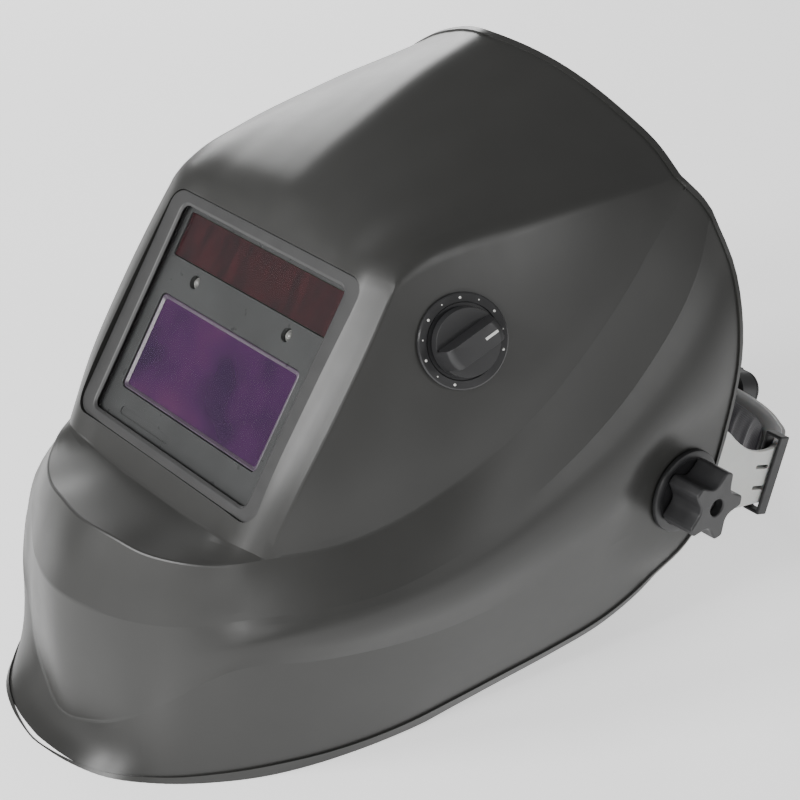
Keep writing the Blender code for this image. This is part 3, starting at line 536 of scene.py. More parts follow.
def coons(top, bottom, left, right):
    """Rows of points that fill the space between four border lines."""
    n, m = len(top) - 1, len(left) - 1
    rows = []
    for j in range(m + 1):
        v = j / m
        row = []
        for i in range(n + 1):
            u = i / n
            ruled = top[i] * (1 - v) + bottom[i] * v + left[j] * (1 - u) + right[j] * u
            corners = (top[0] * (1 - u) + top[n] * u) * (1 - v) + (bottom[0] * (1 - u) + bottom[n] * u) * v
            row.append(ruled - corners)
        rows.append(row)
    return rows


# ---------------- shell lines, as in the part


def up_panel(u, v):
    t = math.radians(PANEL_TILT)
    return (u, v * math.sin(t), v * math.cos(t))


CREST = (69.8, 34.5, 45.2)  # where the panel, the crown and the side meet
CHEEK = (68.2, -26.3, -49.6)  # and the panel, the lip and the band
RIM_LOW = -140.0
BROW = [up_panel(0, 54.5), up_panel(40, 54.6), up_panel(60, 55.0), CREST]
PANEL_SIDE = [CREST, (71.6, 17.5, 20.5), (71.8, 2.2, -2.0), (70.8, -12.8, -25.0), CHEEK]
PANEL_FOOT = [up_panel(0, -59), up_panel(40, -58.4), up_panel(60, -56.5), CHEEK]
PANEL_MIDDLE = [up_panel(0, 54.5), up_panel(0, -59)]
CROWN_MIDDLE = [up_panel(0, 54.5), (0, 38, 55), (0, 52, 63), (0, 75, 73.5), (0, 105, 86), (0, 138, 96)]
CROWN_SIDE = [CREST, (70.4, 45, 50.2), (73, 64, 53.8), (78.5, 88, 55.6), (83, 118, 57), (84.5, 160.5, 55.5)]
RIM_TOP = [
    (0, 138, 96.5), (15, 142.5, 93.8), (30, 147.5, 89), (45, 151, 83), (59, 154.5, 75.5),
    (74, 158.5, 65.5), (84.5, 160.5, 55.5)]
BAND_TOP_SIDE = [
    CHEEK, (80, -7, -47), (89, 18.7, -40.6), (95, 41.8, -30.3), (98.5, 68, -17), (98, 108, 11),
    (93.5, 138, 35), (87, 163, 52.5)]
BAND_TOP_FRONT = [
    (0, -62.0, -50.8), (19, -59.6, -51), (32, -56.6, -52), (46, -50.0, -52), (57, -41.0, -51.8),
    (63.5, -33.6, -50.6), CHEEK]
BAND_FOOT = [
    (0, -76.0, -76), (24, -70.4, -77), (44, -60.6, -76), (58, -52, -73), (73, -38, -68), (86, -21, -65),
    (98, 1.5, -61.5), (105, 28.5, -54.5), (109, 74, -36), (108, 120, -9.5), (100, 159, 26.5),
    (93, 170.3, 41.5)]
CHIN_FOLD = [
    (0, -78.3, -132), (18, -74.6, -128), (33, -70.2, -120), (44, -65.2, -112), (55, -61, -103),
    (65, -54, -93), (74, -46, -86), (89, -18, -86), (101, 20, -86), (108, 60, -82), (112.5, 100, -76),
    (114, 135, -66), (114.2, 165, -48)]
RIM_FOOT = [
    (0, -93.6, RIM_LOW), (10, -92.4, RIM_LOW), (24, -88.8, RIM_LOW), (38, -82.5, RIM_LOW),
    (53, -69.3, RIM_LOW), (65, -53.5, RIM_LOW), (74.5, -36, RIM_LOW), (80.5, -18, RIM_LOW),
    (84.5, 2, RIM_LOW), (87, 22, -139.2), (89, 45, -136.6), (92.5, 67, -132.4), (97, 90, -127.2),
    (102, 113, -120), (106.5, 130.5, -108.6), (110, 143, -95.1), (112, 150, -87)]
RIM_CREST_TO_BAND = [(84.5, 160.5, 55.5), (87, 163, 52.5)]
RIM_OF_BAND = [(87, 163, 52.5), (90.3, 167.3, 47), (93, 170.3, 41.5)]
RIM_SIDE = [
    (93, 170.3, 41.5), (105, 172.5, 21), (111, 172, 4), (113.7, 171, -12), (114.3, 168.7, -30),
    (114.2, 165, -48)]
RIM_CORNER = [(114.2, 165, -48), (114, 161, -61), (113.2, 156.5, -74), (112, 150, -87)]
CHIN_MIDDLE = [(0, -76.0, -76), (0, -77.6, -100), (0, -78.3, -132)]
CHIN_FLARE = [(0, -78.3, -132), (0, -83.5, -136), (0, -93.6, RIM_LOW)]
LIP_MIDDLE = [up_panel(0, -59), (0, -52, -50.4), (0, -62.0, -50.8)]
BAND_MIDDLE = [(0, -62.0, -50.8), (0, -69, -62), (0, -76.0, -76)]

CROWN_PATCH, PANEL_PATCH, SIDE_PATCH, LIP_PATCH, BAND_PATCH, LOWER_PATCH, FLARE_PATCH = range(7)
SHARP_BORDERS = (
    {PANEL_PATCH, SIDE_PATCH}, {PANEL_PATCH, LIP_PATCH}, {SIDE_PATCH, BAND_PATCH}, {LIP_PATCH, BAND_PATCH},
    {BAND_PATCH, LOWER_PATCH}, {LOWER_PATCH, FLARE_PATCH})
SOFT_BORDERS = ({CROWN_PATCH, PANEL_PATCH}, {CROWN_PATCH, SIDE_PATCH})


def shell_patches():
    """The seven patches of the left half, in the order of their numbers."""
    across, deep, up, rim = ACROSS, DEEP, UP, BEAD_WIDTH
    brow, foot = (curve_with_knot(line, 2, across - 3, 3) for line in (BROW, PANEL_FOOT))
    ridge = curve_through(PANEL_SIDE, up)
    crown_side = curve_through(CROWN_SIDE, deep, rim)
    band_top = curve_through(BAND_TOP_FRONT, across) + curve_through(BAND_TOP_SIDE, deep, rim)[1:]
    band_foot = curve_with_knot(BAND_FOOT, 4, across, deep, rim)
    fold = curve_with_knot(CHIN_FOLD, 6, across, deep, rim)
    rim_foot = curve_with_knot(RIM_FOOT, 6, across, deep, rim)
    lip = curve_through(LIP_MIDDLE, LIP_CELLS)
    band = [curve_through(line, BAND_CELLS) for line in (BAND_MIDDLE, RIM_OF_BAND)]
    chin = [curve_through(line, CHIN_CELLS) for line in (CHIN_MIDDLE, RIM_SIDE)]
    flare = [curve_through(line, FLARE_CELLS, rim) for line in (CHIN_FLARE, RIM_CORNER)]
    return [
        coons(brow, curve_through(RIM_TOP, across), curve_through(CROWN_MIDDLE, deep, rim), crown_side),
        coons(brow, foot, spaced([Vector(p) for p in PANEL_MIDDLE], up), ridge),
        coons(crown_side, band_top[across:], ridge, spaced([Vector(p) for p in RIM_CREST_TO_BAND], up)),
        coons(foot, band_top[: across + 1], lip, [ridge[-1]] * (LIP_CELLS + 1)),
        coons(band_top, band_foot, *band),
        coons(band_foot, fold, *chin),
        coons(fold, rim_foot, *flare),
    ]


def seated(p):
    """A point of the shell, brought to the flat seat where it is near a pivot."""
    away = math.hypot(p.y - PIVOT[1], p.z - PIVOT[2])
    share = min(max((SEAT_BLEND - away) / (SEAT_BLEND - SEAT_FLAT), 0.0), 1.0)
    share = share * share * (3 - 2 * share)
    return Vector((p.x + share * (PIVOT_SEAT - p.x), p.y, p.z)) if p.x > PIVOT_SEAT / 2 else p


def shell_sheet():
    """The outside of the shell as one open sheet whose faces know their patch."""
    bm = bmesh.new()
    patch = bm.faces.layers.int.new("patch")
    for number, rows in enumerate(shell_patches()):
        for side in (1, -1):
            grid = []
            for row in rows:
                seats = [seated(p) for p in row]
                grid.append([bm.verts.new(world_point(side * p.x, p.y, p.z)) for p in seats])
            for upper, lower in zip(grid, grid[1:]):
                for i in range(len(upper) - 1):
                    corners = (upper[i], lower[i], lower[i + 1], upper[i + 1])
                    face = bm.faces.new(corners if side > 0 else corners[::-1])
                    face[patch] = number
    bmesh.ops.remove_doubles(bm, verts=bm.verts, dist=MERGE)
    bmesh.ops.dissolve_degenerate(bm, edges=bm.edges, dist=MERGE)
    bmesh.ops.recalc_face_normals(bm, faces=bm.faces)
    front = min(bm.faces, key=lambda f: f.calc_center_median().y)
    if front.normal.y > 0:
        bmesh.ops.reverse_faces(bm, faces=bm.faces)
    bm.normal_update()
    return bm, patch


def borders(bm, patch, kinds):
    """Edges between patches of these pairs."""
    return [
        e for e in bm.edges if len(e.link_faces) == 2 and {f[patch] for f in e.link_faces} in kinds
    ]


def soften(bm, patch):
    """Rounds the brow, the crown's side ridge and the corner between them, and evens out the side."""
    soft = {v for e in borders(bm, patch, SOFT_BORDERS) for v in e.verts}
    tree = kdtree.KDTree(len(soft))
    for i, v in enumerate(soft):
        tree.insert(v.co, i)
    tree.balance()
    crest = world_point(*CREST)
    held = {v for e in borders(bm, patch, SHARP_BORDERS) for v in e.verts}
    shares = {}
    for v in bm.verts:
        if v.is_boundary:
            continue
        if v in held:
            mirrored = Vector((abs(v.co.x), v.co.y, v.co.z))
            away = (mirrored - crest).length / (CREST_REACH * MM)
        else:
            away = tree.find(v.co)[2] / (SOFT_REACH * MM)
        if away < 1:
            shares[v] = (1 - away) ** 2
        elif all(f[patch] == SIDE_PATCH for f in v.link_faces):
            shares[v] = SIDE_SHARE
    for _ in range(SOFT_PASSES):
        moved = {}
        for v, share in shares.items():
            around = [e.other_vert(v).co for e in v.link_edges]
            moved[v] = v.co.lerp(sum(around, Vector()) / len(around), share * SOFT_STEP)
        for v, place in moved.items():
            v.co = place


def bead_mesh(bm):
    """The strip of faces along the shell's rim, which becomes its rolled bead."""
    strip = bm.copy()
    away = [f for f in strip.faces if not any(e.is_boundary for e in f.edges)]
    bmesh.ops.delete(strip, geom=away, context="FACES")
    return strip


def room_beside(edge):
    """The height over this edge of the lower face beside it."""
    length = edge.calc_length()
    return min(f.calc_area() for f in edge.link_faces) / length if length > 0 else 0


def crease(bm, patch):
    """Turns steep folds into small fillets where there is room, and lists where every fold runs."""
    folds = [
        e for e in borders(bm, patch, SHARP_BORDERS) if e.calc_face_angle(0) > math.radians(FOLD_ABOVE)
    ]
    cheek = world_point(*CHEEK)
    wide = []
    spots = []
    for e in folds:
        a, b = (v.co for v in e.verts)
        middle = (a + b) / 2
        spots.extend((at.copy(), (b - a).normalized()) for at in (a, middle, b))
        far = (Vector((abs(middle.x), middle.y, middle.z)) - cheek).length > CHEEK_CORNER * MM
        radius = CREASE_RADIUS * MM
        roomy = room_beside(e) > CREASE_ROOM * radius and (a - b).length > radius
        if far and roomy and e.calc_face_angle(0) > math.radians(FILLET_ABOVE):
            wide.append(e)
    bmesh.ops.bevel(
        bm, geom=wide, offset=CREASE_RADIUS * MM, segments=2, profile=0.5, affect="EDGES",
        clamp_overlap=False)
    return spots


def marked(mesh, spots):
    """Keeps the folds crisp on both faces of the wall: edges near these spots that run their way."""
    tree = kdtree.KDTree(len(spots))
    for i, (spot, _) in enumerate(spots):
        tree.insert(spot, i)
    tree.balance()

    def on_fold(e):
        run = (e.verts[1].co - e.verts[0].co).normalized()
        found = [tree.find(v.co) for v in e.verts]
        reach = (WALL + FOLD_SLACK) * MM
        return all(away < reach and abs(run.dot(spots[i][1])) > FOLD_ALONG for _, i, away in found)

    bm = bmesh.new()
    bm.from_mesh(mesh)
    for e in bm.edges:
        if len(e.link_faces) != 2:
            continue
        angle = math.degrees(e.calc_face_angle(0))
        e.smooth = angle < (FOLD_ABOVE if on_fold(e) else SHARP_ABOVE)
    bm.to_mesh(mesh)
    bm.free()


def solid_sheet(bm, name, thickness, offset):
    """A sheet given a wall: inwards for offset -1, outwards for 1."""
    mesh = bpy.data.meshes.new(name)
    bm.to_mesh(mesh)
    bm.free()
    ob = add(name, mesh, SHELL)
    mod = ob.modifiers.new("thickness", "SOLIDIFY")
    mod.thickness = thickness * MM
    mod.offset = offset
    mod.use_even_offset = True
    return ob


BENCH = box_mesh((-200, -250, -20), (200, 250, 0))


def make_shell():
    bm, patch = shell_sheet()
    soften(bm, patch)
    rim = bead_mesh(bm)
    folds = crease(bm, patch)
    shell = solid_sheet(bm, "shell_outer", WALL, -1.0)
    freeze(shell)
    window = rounded_rectangle(BEZEL[0] + GAP, BEZEL[1] + GAP, 7.15, (0, 0.25))
    cutters = [(prism_mesh(window, -20, 20), WINDOW), (BENCH, LEVEL), (disc_mesh(3.9, -12, 8), SHADE)]
    for _, _, turn in SIDES:
        cutters.append((disc_mesh(5.0, 100, 125), turned_frame(HEADGEAR, turn=turn)))
    cut(shell, cutters)
    marked(shell.data, folds)
    weighted(shell)
    fits(shell, "shell_body", "shell_grey", "shell")

    thick = WALL + BEAD_HEIGHT + 0.2
    bead = solid_sheet(rim, "rim_bead", thick, 2 * BEAD_HEIGHT / thick - 1)
    freeze(bead)
    cut(bead, [(BENCH, LEVEL)])
    rounded(bead, 0.55, 3, 40)
    freeze(bead)
    weighted(bead)
    fits(bead, "shell_body", "shell_grey")


# ---------------- window and cartridge


def make_bezel():
    w, h = LENS_SIZE
    middle = (0, 0.25)
    loops = [
        (rounded_rectangle(OPENING[0] + 2.6, OPENING[1] + 2.6, 4.3), 0.3),
        (rounded_rectangle(BEZEL[0] - 0.9, BEZEL[1] - 0.9, 6.55, middle), 0.3),
        (rounded_rectangle(BEZEL[0] - 0.2, BEZEL[1] - 0.2, 6.9, middle), 0.2),
        (rounded_rectangle(*BEZEL, 7, middle), 0.0),
        (rounded_rectangle(*BEZEL, 7, middle), -4.4),
        (rounded_rectangle(w + 0.8, h + 0.8, 1), -4.4),
        (rounded_rectangle(w + 0.8, h + 0.8, 1), -1.0),
        (rounded_rectangle(*OPENING, 3), -1.0),
        (rounded_rectangle(*OPENING, 3), -0.6),
        (rounded_rectangle(OPENING[0] + 1.6, OPENING[1] + 1.6, 3.8), 0.05),
    ]
    bezel = add("bezel_frame", ring_mesh(loops), TRIM, WINDOW, 50)
    weighted(bezel)
    fits(bezel, "shell_body", "shell_grey", "window_bezel")


def make_cartridge_face():
    w, h = LENS_SIZE
    view_w, view_h = CARTRIDGE_VIEW
    face = add("cartridge_face", prism_mesh(rounded_rectangle(w, h, 2.5), -9.9, -6.9), CASE, FILTER)
    view = rounded_rectangle(view_w + 2 * GAP, view_h + 2 * GAP, 2.5, (0, VIEW_MIDDLE))
    solar = rounded_rectangle(SOLAR_SIZE[0] + 2 * GAP, SOLAR_SIZE[1] + 2 * GAP, 1.6, (0, SOLAR_MIDDLE))
    cutters = [(prism_mesh(view, -12, -4), FILTER), (prism_mesh(solar, -12, -4), FILTER)]
    for side, sign, _ in SIDES:
        spot = (sign * SENSOR_PLACE[0], SENSOR_PLACE[1], 0)
        cutters.append((disc_mesh(2.8, -12, -4), turned_frame(FILTER, spot)))
    label = rounded_rectangle(34, 3.2, 1.4, (-22, -40))
    cutters.append((prism_mesh(label, -7.3, -4), FILTER))
    cut(face, cutters)
    rounded(face, 0.35, 2)
    weighted(face)
    fits(face, "shell_body", "black_plastic", "adf_front_case")

    border = ring_mesh([
        (rounded_rectangle(view_w - 0.2, view_h - 0.2, 2.2, (0, VIEW_MIDDLE)), -8.15),
        (rounded_rectangle(view_w - 0.2, view_h - 0.2, 2.2, (0, VIEW_MIDDLE)), -7.5),
        (rounded_rectangle(view_w - 1.2, view_h - 1.2, 1.8, (0, VIEW_MIDDLE)), -7.4),
        (rounded_rectangle(view_w - 3.6, view_h - 3.2, 1.4, (0, VIEW_MIDDLE)), -8.05),
        (rounded_rectangle(view_w - 3.6, view_h - 3.2, 1.4, (0, VIEW_MIDDLE)), -8.15),
    ])
    # The ring's lighter violet is a painted highlight, not the frame's own colour.
    border = add("filter_border", border, SHUTTER_EDGE_PAINTED_HIGHLIGHT, FILTER)
    weighted(border)
    fits(border, "shell_body", "filter_violet")
    for side, sign, _ in SIDES:
        spot = turned_frame(FILTER, (sign * SENSOR_PLACE[0], SENSOR_PLACE[1], 0))
        dome = [(0, -7.3), (0.8, -7.4), (1.5, -7.8), (1.9, -8.6), (2.4, -8.8), (2.4, -9.7), (0, -9.7)]
        eye = add(f"sensor_eye_{side}", turned_mesh(dome, 32), SENSOR, spot)
        fits(eye, "shell_body", "solar_red", f"arc_sensor_{side}")


# ---------------- shade control


def make_shade_control():
    plate = [
        (17.2, 2.0), (17.7, 1.7), (17.8, 1.3), (17.8, 0.7), (3.6, 0.7), (3.6, 1.5), (14.0, 1.5),
        (14.4, 1.9)]
    dial = add("shade_dial", turned_mesh(plate, 96), DIAL, SHADE, 25)
    fits(dial, "shell_body", "black_plastic", "shade_dial_plate")
    marks = bmesh.new()
    for k in range(SHADE_MARKS):
        share = k / (SHADE_MARKS - 1) - 0.5
        angle = math.radians(SHADE_TURN + 90 + SHADE_SWEEP * share)
        spot = Vector((MARKS_RADIUS * math.cos(angle), MARKS_RADIUS * math.sin(angle), 1.96)) * MM
        size = (0.55 if k % 2 == 0 else 0.3) * MM
        bmesh.ops.create_icosphere(marks, subdivisions=2, radius=size, matrix=Matrix.Translation(spot))
    dots = add("shade_marks", mesh_of(marks, "marks"), PRINT, SHADE)
    fits(dots, "shell_body", "black_plastic")

    body = [
        (0, 15.0), (8.6, 15.0), (10.0, 14.5), (11.0, 13.6), (11.5, 12.6), (12.4, 8.0), (13.0, 3.2),
        (12.8, 2.6), (12.2, 2.4), (3.3, 2.4), (3.3, 9.0), (0, 9.0)]
    turn = turned_frame(SHADE, turn=(0, 0, SHADE_TURN))
    knob = add("shade_grip", turned_mesh(body, 96), KNOB, turn)
    beside = [box_mesh((-16, middle - 6, 6.6), (16, middle + 6, 17)) for middle in (-10.1, 10.1)]
    cut(knob, [(mesh, turn) for mesh in beside])
    rounded(knob, 0.7)
    weighted(knob)
    fits(knob, "shade_control", "black_plastic", "shade_knob")
    pointer = add("shade_pointer", box_mesh((3.5, -0.5, 14.9), (9.0, 0.5, 15.15)), PRINT, turn)
    rounded(pointer, 0.1, 2)
    fits(pointer, "shade_control", "black_plastic")


# The lead from the shade control to the cartridge, in the filter's frame.
CABLE_ROUTE = [
    (70.1, 42.6, -42.7), (67.6, 42.2, -43.7), (65.2, 40.4, -43.4), (64.0, 36.0, -39.5), (64.2, 30.0, -31.5),
    (65.0, 25.0, -24.0), (65.3, 21.6, -18.0), (63.4, 20.2, -15.3), (60.0, 20.0, -14.9), (55.6, 20.0, -14.9)]


def make_cable():
    """It is held at both ends inside the helmet, so it isn't a free cord."""
    curve = bpy.data.curves.new("shade_lead", "CURVE")
    curve.dimensions = "3D"
    curve.bevel_depth = 1.5 * MM
    curve.bevel_resolution = 6
    curve.use_fill_caps = True
    points = curve_through(CABLE_ROUTE, 60)
    spline = curve.splines.new("POLY")
    spline.points.add(len(points) - 1)
    for point, where in zip(spline.points, points):
        point.co = (*(where * MM), 1)
    curve.materials.append(RUBBER)
    lead = bpy.data.objects.new("shade_lead", curve)
    bpy.context.scene.collection.objects.link(lead)
    lead.matrix_world = FILTER
    fits(lead, "shell_body", "dark_rubber", "control_cable")


# ---------------- pivots


def star_outline(phase, lobes=5, blunt=8, steps=9):
    """Blunt lobes with round hollows between them."""
    points = []
    half = 180 / lobes
    for k in range(lobes):
        middle = 360 / lobes * k + phase
        arc = [-blunt, -blunt / 2, 0, blunt / 2, blunt]
        turns = [(t, STAR_TIP) for t in arc]
        for i in range(1, 2 * steps):
            t = i / steps
            fall = (1 - min(t, 2 - t)) ** 2.3
            turns.append((blunt + t * (half - blunt), STAR_VALLEY + fall * (STAR_TIP - STAR_VALLEY)))
        for turn, radius in turns:
            a = math.radians(middle + turn)
            points.append((radius * math.cos(a), radius * math.sin(a)))
    return points


def make_pivots():
    for side, _, turn in SIDES:
        axle = turned_frame(HEADGEAR, turn=turn)
        phase = STAR_TURN if side == "left" else 180 - STAR_TURN
        star = prism_mesh(star_outline(phase), FLANGE_OUT + GAP, STAR_END)
        knob = add(f"star_grip_{side}", star, KNOB, axle)
        cut(knob, [(disc_mesh(3.5, 110, 150), axle)])
        rounded(knob, 0.8, 3, 40)
        weighted(knob)
        fits(knob, f"star_knob_{side}", "black_plastic", f"star_knob_{side}")
        ring = [
            (17.5, FLANGE_IN), (4.2, FLANGE_IN), (4.2, FLANGE_OUT - 0.3), (13.8, FLANGE_OUT - 0.3),
            (14.4, FLANGE_OUT), (16.6, FLANGE_OUT), (17.3, FLANGE_OUT - 0.3), (17.5, FLANGE_OUT - 0.8)]
        flange = add(f"flange_{side}", turned_mesh(ring, 96), BLACK, axle, 25)
        fits(flange, "pivot_carriage", "black_plastic", f"knob_flange_{side}")


# ---------------- headgear


def edges(stations):
    return [(x, y, low) for x, y, low, high in stations], [(x, y, high) for x, y, low, high in stations]


HEADBAND_STATIONS = [
    (0, -86.3, 5, 37), (28, -83.3, 4.5, 36), (54, -71.3, 2, 33), (72, -50.3, -4, 27),
    (81.5, -26.3, -11, 21), (85.2, -6.3, -19, 18), (BAND_HALF_WIDTH, 12.2, -21, 15),
    (BAND_HALF_WIDTH, 40.2, -23, 14), (BAND_HALF_WIDTH, 56.2, -24.5, 12.5),
    (BAND_HALF_WIDTH, 67.2, -25.5, 6.6), (BAND_HALF_WIDTH, 79.2, -25, 2.4),
    (BAND_HALF_WIDTH, 90.2, -23.5, 2.4), (BAND_HALF_WIDTH, 99.7, -22.5, 5.6)]
SWEATBAND_STATIONS = [
    (0, -80.8, 2, 39), (26, -78.1, 2, 38), (50, -66.8, 0, 35), (66, -47.8, -5, 29), (74, -28.3, -9, 23)]
REAR_BAND_STATIONS = [
    (83.2, 73.2, -19, -3), (83.2, 88.2, -21, -1.5), (82.8, 101.2, -22, 5), (79.8, 108, -22.5, 7.5),
    (70, 115.7, -23, 9), (56, 124.7, -23, 9.5), (38, 131.7, -23, 9.5), (0, 135.2, -23, 9.5)]
REAR_PAD_STATIONS = [
    (67, 110.2, -21, 5), (53.6, 120.4, -21.5, 5), (36.6, 127, -21.5, 5), (0, 130.6, -21.5, 5)]
BAND_SLOTS = ((90.0, -5.5, 7.0, 35), (91.4, -15.5, 9.0, -25))  # y, z, length and lean, ahead of a keeper

# The pads
PAD_MIDDLE = Vector((0, 20, 0))  # they bulge away from here
PAD_ROWS = 10
PAD_EDGE = 0.25  # least half thickness
PAD_FULLNESS = 3.2  # power of the crown across, so the edges roll over
SEAM_DEPTH, SEAM_POWER = 0.45, 14  # share of the thickness that a seam takes, and how narrow it is
PAD_END_CELLS = 3  # that the pad's thickness takes to close at its ends


def band_mesh(stations, count, rows=4):
    """A bent strap's middle sheet over both halves."""
    low, high = (curve_through(line, count) for line in edges(stations))
    bm = bmesh.new()
    for side in (1, -1):
        grid = []
        for j in range(rows + 1):
            line = [a.lerp(b, j / rows) for a, b in zip(low, high)]
            grid.append([bm.verts.new(Vector((side * p.x, p.y, p.z)) * MM) for p in line])
        for upper, lower in zip(grid, grid[1:]):
            for i in range(count):
                bm.faces.new((upper[i], lower[i], lower[i + 1], upper[i + 1]))
    bmesh.ops.remove_doubles(bm, verts=bm.verts, dist=MERGE)
    return mesh_of(bm, "band")


def thick_band(name, mesh, finish, thickness, edge):
    ob = add(name, mesh, finish, HEADGEAR)
    mod = ob.modifiers.new("thickness", "SOLIDIFY")
    mod.thickness = thickness * MM
    mod.offset = 0
    mod.use_even_offset = True
    freeze(ob)
    rounded(ob, edge, 3, 40)
    freeze(ob)
    return ob


def make_headband():
    band = thick_band("band_front", band_mesh(HEADBAND_STATIONS, 60), STRAP, 2.0, 0.5)
    cutters = []
    for _, sign, _ in SIDES:
        for y, z, long, lean in BAND_SLOTS:
            slot = prism_mesh(rounded_rectangle(2.0, long, 0.9, (0, 0), 4), -4, 4)
            cutters.append((slot, turned_frame(HEADGEAR, (sign * BAND_HALF_WIDTH, y, z), (lean, 90, 0))))
    cut(band, cutters)
    weighted(band)
    fits(band, "headgear", "band_grey", "headband")
    rear = thick_band("band_rear", band_mesh(REAR_BAND_STATIONS[::-1], 60), STRAP_INNER, 2.0, 0.5)
    weighted(rear)
    fits(rear, "rear_adjuster", "band_grey", "rear_band")


def pad_mesh(stations, thickness, count, stitch_every):
    """A crowned pad: thick in the middle, drawn in along its stitched edges and at cross seams."""
    low, high = (curve_through(line, count) for line in edges(stations))
    rows = PAD_ROWS
    bm = bmesh.new()
    for side in (1, -1):
        shells = []
        for face in (1, -1):
            grid = []
            for j in range(rows + 1):
                v = j / rows
                across = 1 - abs(2 * v - 1) ** PAD_FULLNESS
                line = []
                for i, (a, b) in enumerate(zip(low, high)):
                    p = a.lerp(b, v)
                    out = Vector((p.x - PAD_MIDDLE.x, p.y - PAD_MIDDLE.y, 0)).normalized()
                    end = min((count - i) / PAD_END_CELLS, 1) ** 0.5
                    seam = abs(math.cos(math.pi * i / stitch_every)) ** SEAM_POWER
                    full = thickness / 2 * across * end * (1 - SEAM_DEPTH * seam)
                    p = p + out * face * max(full, PAD_EDGE)
                    line.append(bm.verts.new(Vector((side * p.x, p.y, p.z)) * MM))
                grid.append(line)
            for upper, lower in zip(grid, grid[1:]):
                for i in range(count):
                    bm.faces.new((upper[i], lower[i], lower[i + 1], upper[i + 1]))
            shells.append(grid)
        outer, inner = shells
        for i in range(count):
            bm.faces.new((outer[0][i], outer[0][i + 1], inner[0][i + 1], inner[0][i]))
            bm.faces.new((outer[-1][i], outer[-1][i + 1], inner[-1][i + 1], inner[-1][i]))
        for j in range(rows):
            bm.faces.new((outer[j][-1], outer[j + 1][-1], inner[j + 1][-1], inner[j][-1]))
    bmesh.ops.remove_doubles(bm, verts=bm.verts, dist=MERGE)
    return mesh_of(bm, "pad")


def make_pads():
    for name, stations, thickness, count, seams, body, node in (
        ("brow_pad", SWEATBAND_STATIONS, 7.0, 48, 8, "headgear", "sweatband"),
        ("nape_pad", REAR_PAD_STATIONS[::-1], 6.0, 40, 8, "rear_adjuster", "rear_pad"),
    ):
        pad = add(name, pad_mesh(stations, thickness, count, seams), CLOTH, HEADGEAR, 180)
        mod = pad.modifiers.new("soft", "SUBSURF")
        mod.levels = 1
        mod.render_levels = 1
        freeze(pad, 180)
        fits(pad, body, "foam", node)


CROWN_MIDDLE_Y = 18  # the straps' middle line, behind the pivots


def make_crown_straps():
    for side, sign, drop in (("left", 1, 0.0), ("right", -1, 2.2)):
        route = [
            (83.8, -6), (83.8, 18), (82, 42), (72, 68), (49, 88 - drop), (20, 97.5 - drop), (0, 99 - drop),
            (-20, 97.5 - drop), (-38, 92.5 - drop)]
        bm = bmesh.new()
        middle = curve_through([(sign * x, 0, z) for x, z in route], 72)
        grid = []
        for y in (10, 14, 19, 24, 28):
            grid.append([bm.verts.new(Vector((p.x, y, p.z)) * MM) for p in middle])
        for upper, lower in zip(grid, grid[1:]):
            for i in range(len(middle) - 1):
                bm.faces.new((upper[i], lower[i], lower[i + 1], upper[i + 1]))
        strap = thick_band(f"strap_over_{side}", mesh_of(bm, "strap"), STRAP_INNER, 1.6, 0.4)
        holes = []
        for across in (-28, -14, 0, 14, 28):
            holes.append((disc_mesh(2.4, 60, 110), turned_frame(HEADGEAR, (across, CROWN_MIDDLE_Y, 0))))
        cut(strap, holes)
        weighted(strap)
        fits(strap, "headgear", "band_grey", f"crown_strap_{side}")
    rivet = [
        (0, 102.8), (4.0, 102.7), (4.9, 102.2), (5.4, 101.0), (5.5, 100.2), (2.1, 100.2), (2.1, 94.4),
        (1.8, 94.0), (0, 94.0)]
    peg = add("strap_peg", turned_mesh(rivet, 40), BLACK, turned_frame(HEADGEAR, (0, CROWN_MIDDLE_Y, 0)))
    fits(peg, "headgear", "black_plastic", "crown_peg")


# ---------------- rear adjuster


def rear_frame(up=RATCHET_MIDDLE):
    """Looks at the back of the head: X across, Y down, Z backwards."""
    return turned_frame(HEADGEAR, (0, 0, up), (-90, 0, 0))


def make_keepers():
    for side, sign, _ in SIDES:
        low, high = sorted((sign * 80.2, sign * 89.0))
        keeper = add(f"keeper_{side}", box_mesh((low, 94, -28), (high, 100.2, 9)), BLACK, HEADGEAR)
        low, high = sorted((sign * 81.6, sign * 87.4))
        cut(keeper, [(box_mesh((low, 90, -26.4), (high, 106, 7.4)), HEADGEAR)])
        rounded(keeper, 0.6, 3, 40)
        weighted(keeper)
        fits(keeper, "rear_adjuster", "black_plastic", f"strap_keeper_{side}")


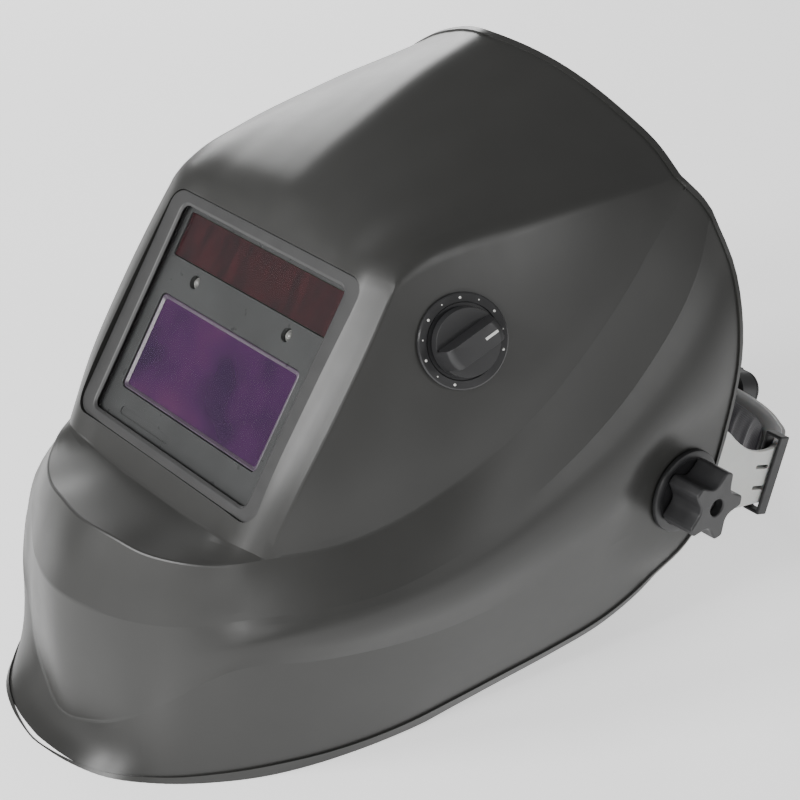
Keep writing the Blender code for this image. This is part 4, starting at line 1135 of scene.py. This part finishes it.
def make_ratchet():
    back = RATCHET_FACE
    there = rear_frame()
    case = rounded_rectangle(2 * RATCHET_HALF, 37, 9, (0, 0), 10)
    housing = add("ratchet_case", prism_mesh(case, back, back + 10.4), BLACK, there)
    pocket = RATCHET_HALF - 2.4
    cut(housing, [(box_mesh((-pocket, -14.8, back + 1.6), (pocket, 14.8, back + 15)), there)])
    rounded(housing, 0.6, 3, 50)
    weighted(housing)
    fits(housing, "rear_adjuster", "black_plastic", "ratchet_housing")
    cover = add("ratchet_lid", prism_mesh(case, back + 10.7, back + 12.5), BLACK, there)
    cut(cover, [(disc_mesh(5.3, back, back + 20), there)])
    rounded(cover, 0.6, 3, 50)
    weighted(cover)
    fits(cover, "rear_adjuster", "black_plastic", "ratchet_cover")
    low, high = back + 12.8, back + 26
    grip = [
        (0, high - 0.6), (12.0, high - 0.6), (13.0, high), (17.3, high), (18.7, high - 0.5),
        (19.4, high - 1.6), (19.5, low + 1.6), (18.8, low + 0.5), (18, low), (5.3, low), (5.3, low + 8),
        (0, low + 8)]
    knob = add("ratchet_grip", turned_mesh(grip, 96), KNOB, there)
    hollows = []
    for k in range(HOLLOWS):
        a = math.radians(360 / HOLLOWS * (k + 0.5))
        spot = turned_frame(there, (HOLLOWS_OUT * math.cos(a), HOLLOWS_OUT * math.sin(a), 0))
        hollows.append((disc_mesh(6, back, back + 40, 40), spot))
    cut(knob, hollows)
    rounded(knob, 0.5, 3, 45)
    weighted(knob)
    fits(knob, "ratchet_dial", "black_plastic", "ratchet_knob")


# ---------------- nodes that stay as the part has them


def finish_nodes():
    finishes = {
        BLACK: (
            "adf_holder", "cartridge_latch", "adf_back_case", "potentiometer", "battery_cap_left",
            "battery_cap_right", "pivot_slider_left", "pivot_slider_right", "pivot_spacer_left",
            "pivot_spacer_right", "tilt_adjuster", "side_bracket_left", "side_bracket_right",
            "ratchet_pinion"),
        KNOB: ("sensitivity_dial", "delay_dial"),
        RUBBER: ("lens_gasket", "friction_washer_left", "friction_washer_right"),
        STRAP_INNER: ("rack_left", "rack_right"),
        CLEAR: ("outer_cover_lens",),
        CLEAR_INNER: ("inner_cover_lens",),
        SHUTTER: ("uv_ir_filter", "lcd_shutter"),
        SOLAR: ("solar_cell",),
        RED: ("test_button",),
        BOARD: ("circuit_board",),
        STEEL: (
            "battery_left", "battery_right", "shade_spindle", "shade_nut", "pivot_bolt_left",
            "pivot_bolt_right"),
    }
    for finish, names in finishes.items():
        for name in names:
            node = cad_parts[name]
            node.data.materials.clear()
            node.data.materials.append(finish)


# ---------------- studio


def make_studio():
    bm = bmesh.new()
    bmesh.ops.create_grid(bm, x_segments=1, y_segments=1, size=FLOOR_HALF)
    floor = add("floor", mesh_of(bm, "floor"), FLOOR)
    world = bpy.data.worlds.new("studio")
    bpy.context.scene.world = world
    world.use_nodes = True
    background = world.node_tree.nodes["Background"]
    background.inputs["Color"].default_value = (1.0, 1.0, 1.0, 1.0)
    background.inputs["Strength"].default_value = WORLD_STRENGTH
    for name, place, size, power in LAMPS:
        lamp(name, place, size, power)


def lamp(name, place, size, power):
    light = bpy.data.lights.new(name, "AREA")
    light.size = size
    light.energy = power
    ob = bpy.data.objects.new(name, light)
    bpy.context.scene.collection.objects.link(ob)
    ob.location = place
    ob.rotation_euler = (Vector(LAMP_TARGET) - Vector(place)).to_track_quat("-Z", "Y").to_euler()


def make_camera():
    data = bpy.data.cameras.new("camera")
    data.lens = CAMERA_LENS
    camera = bpy.data.objects.new("camera", data)
    bpy.context.scene.collection.objects.link(camera)
    camera.location = world_point(*CAMERA_PLACE)
    camera.rotation_euler = [math.radians(angle) for angle in CAMERA_TURN]
    bpy.context.scene.camera = camera


make_shell()
make_bezel()
make_cartridge_face()
make_shade_control()
make_cable()
make_pivots()
make_headband()
make_pads()
make_crown_straps()
make_keepers()
make_ratchet()
finish_nodes()
make_studio()
make_camera()
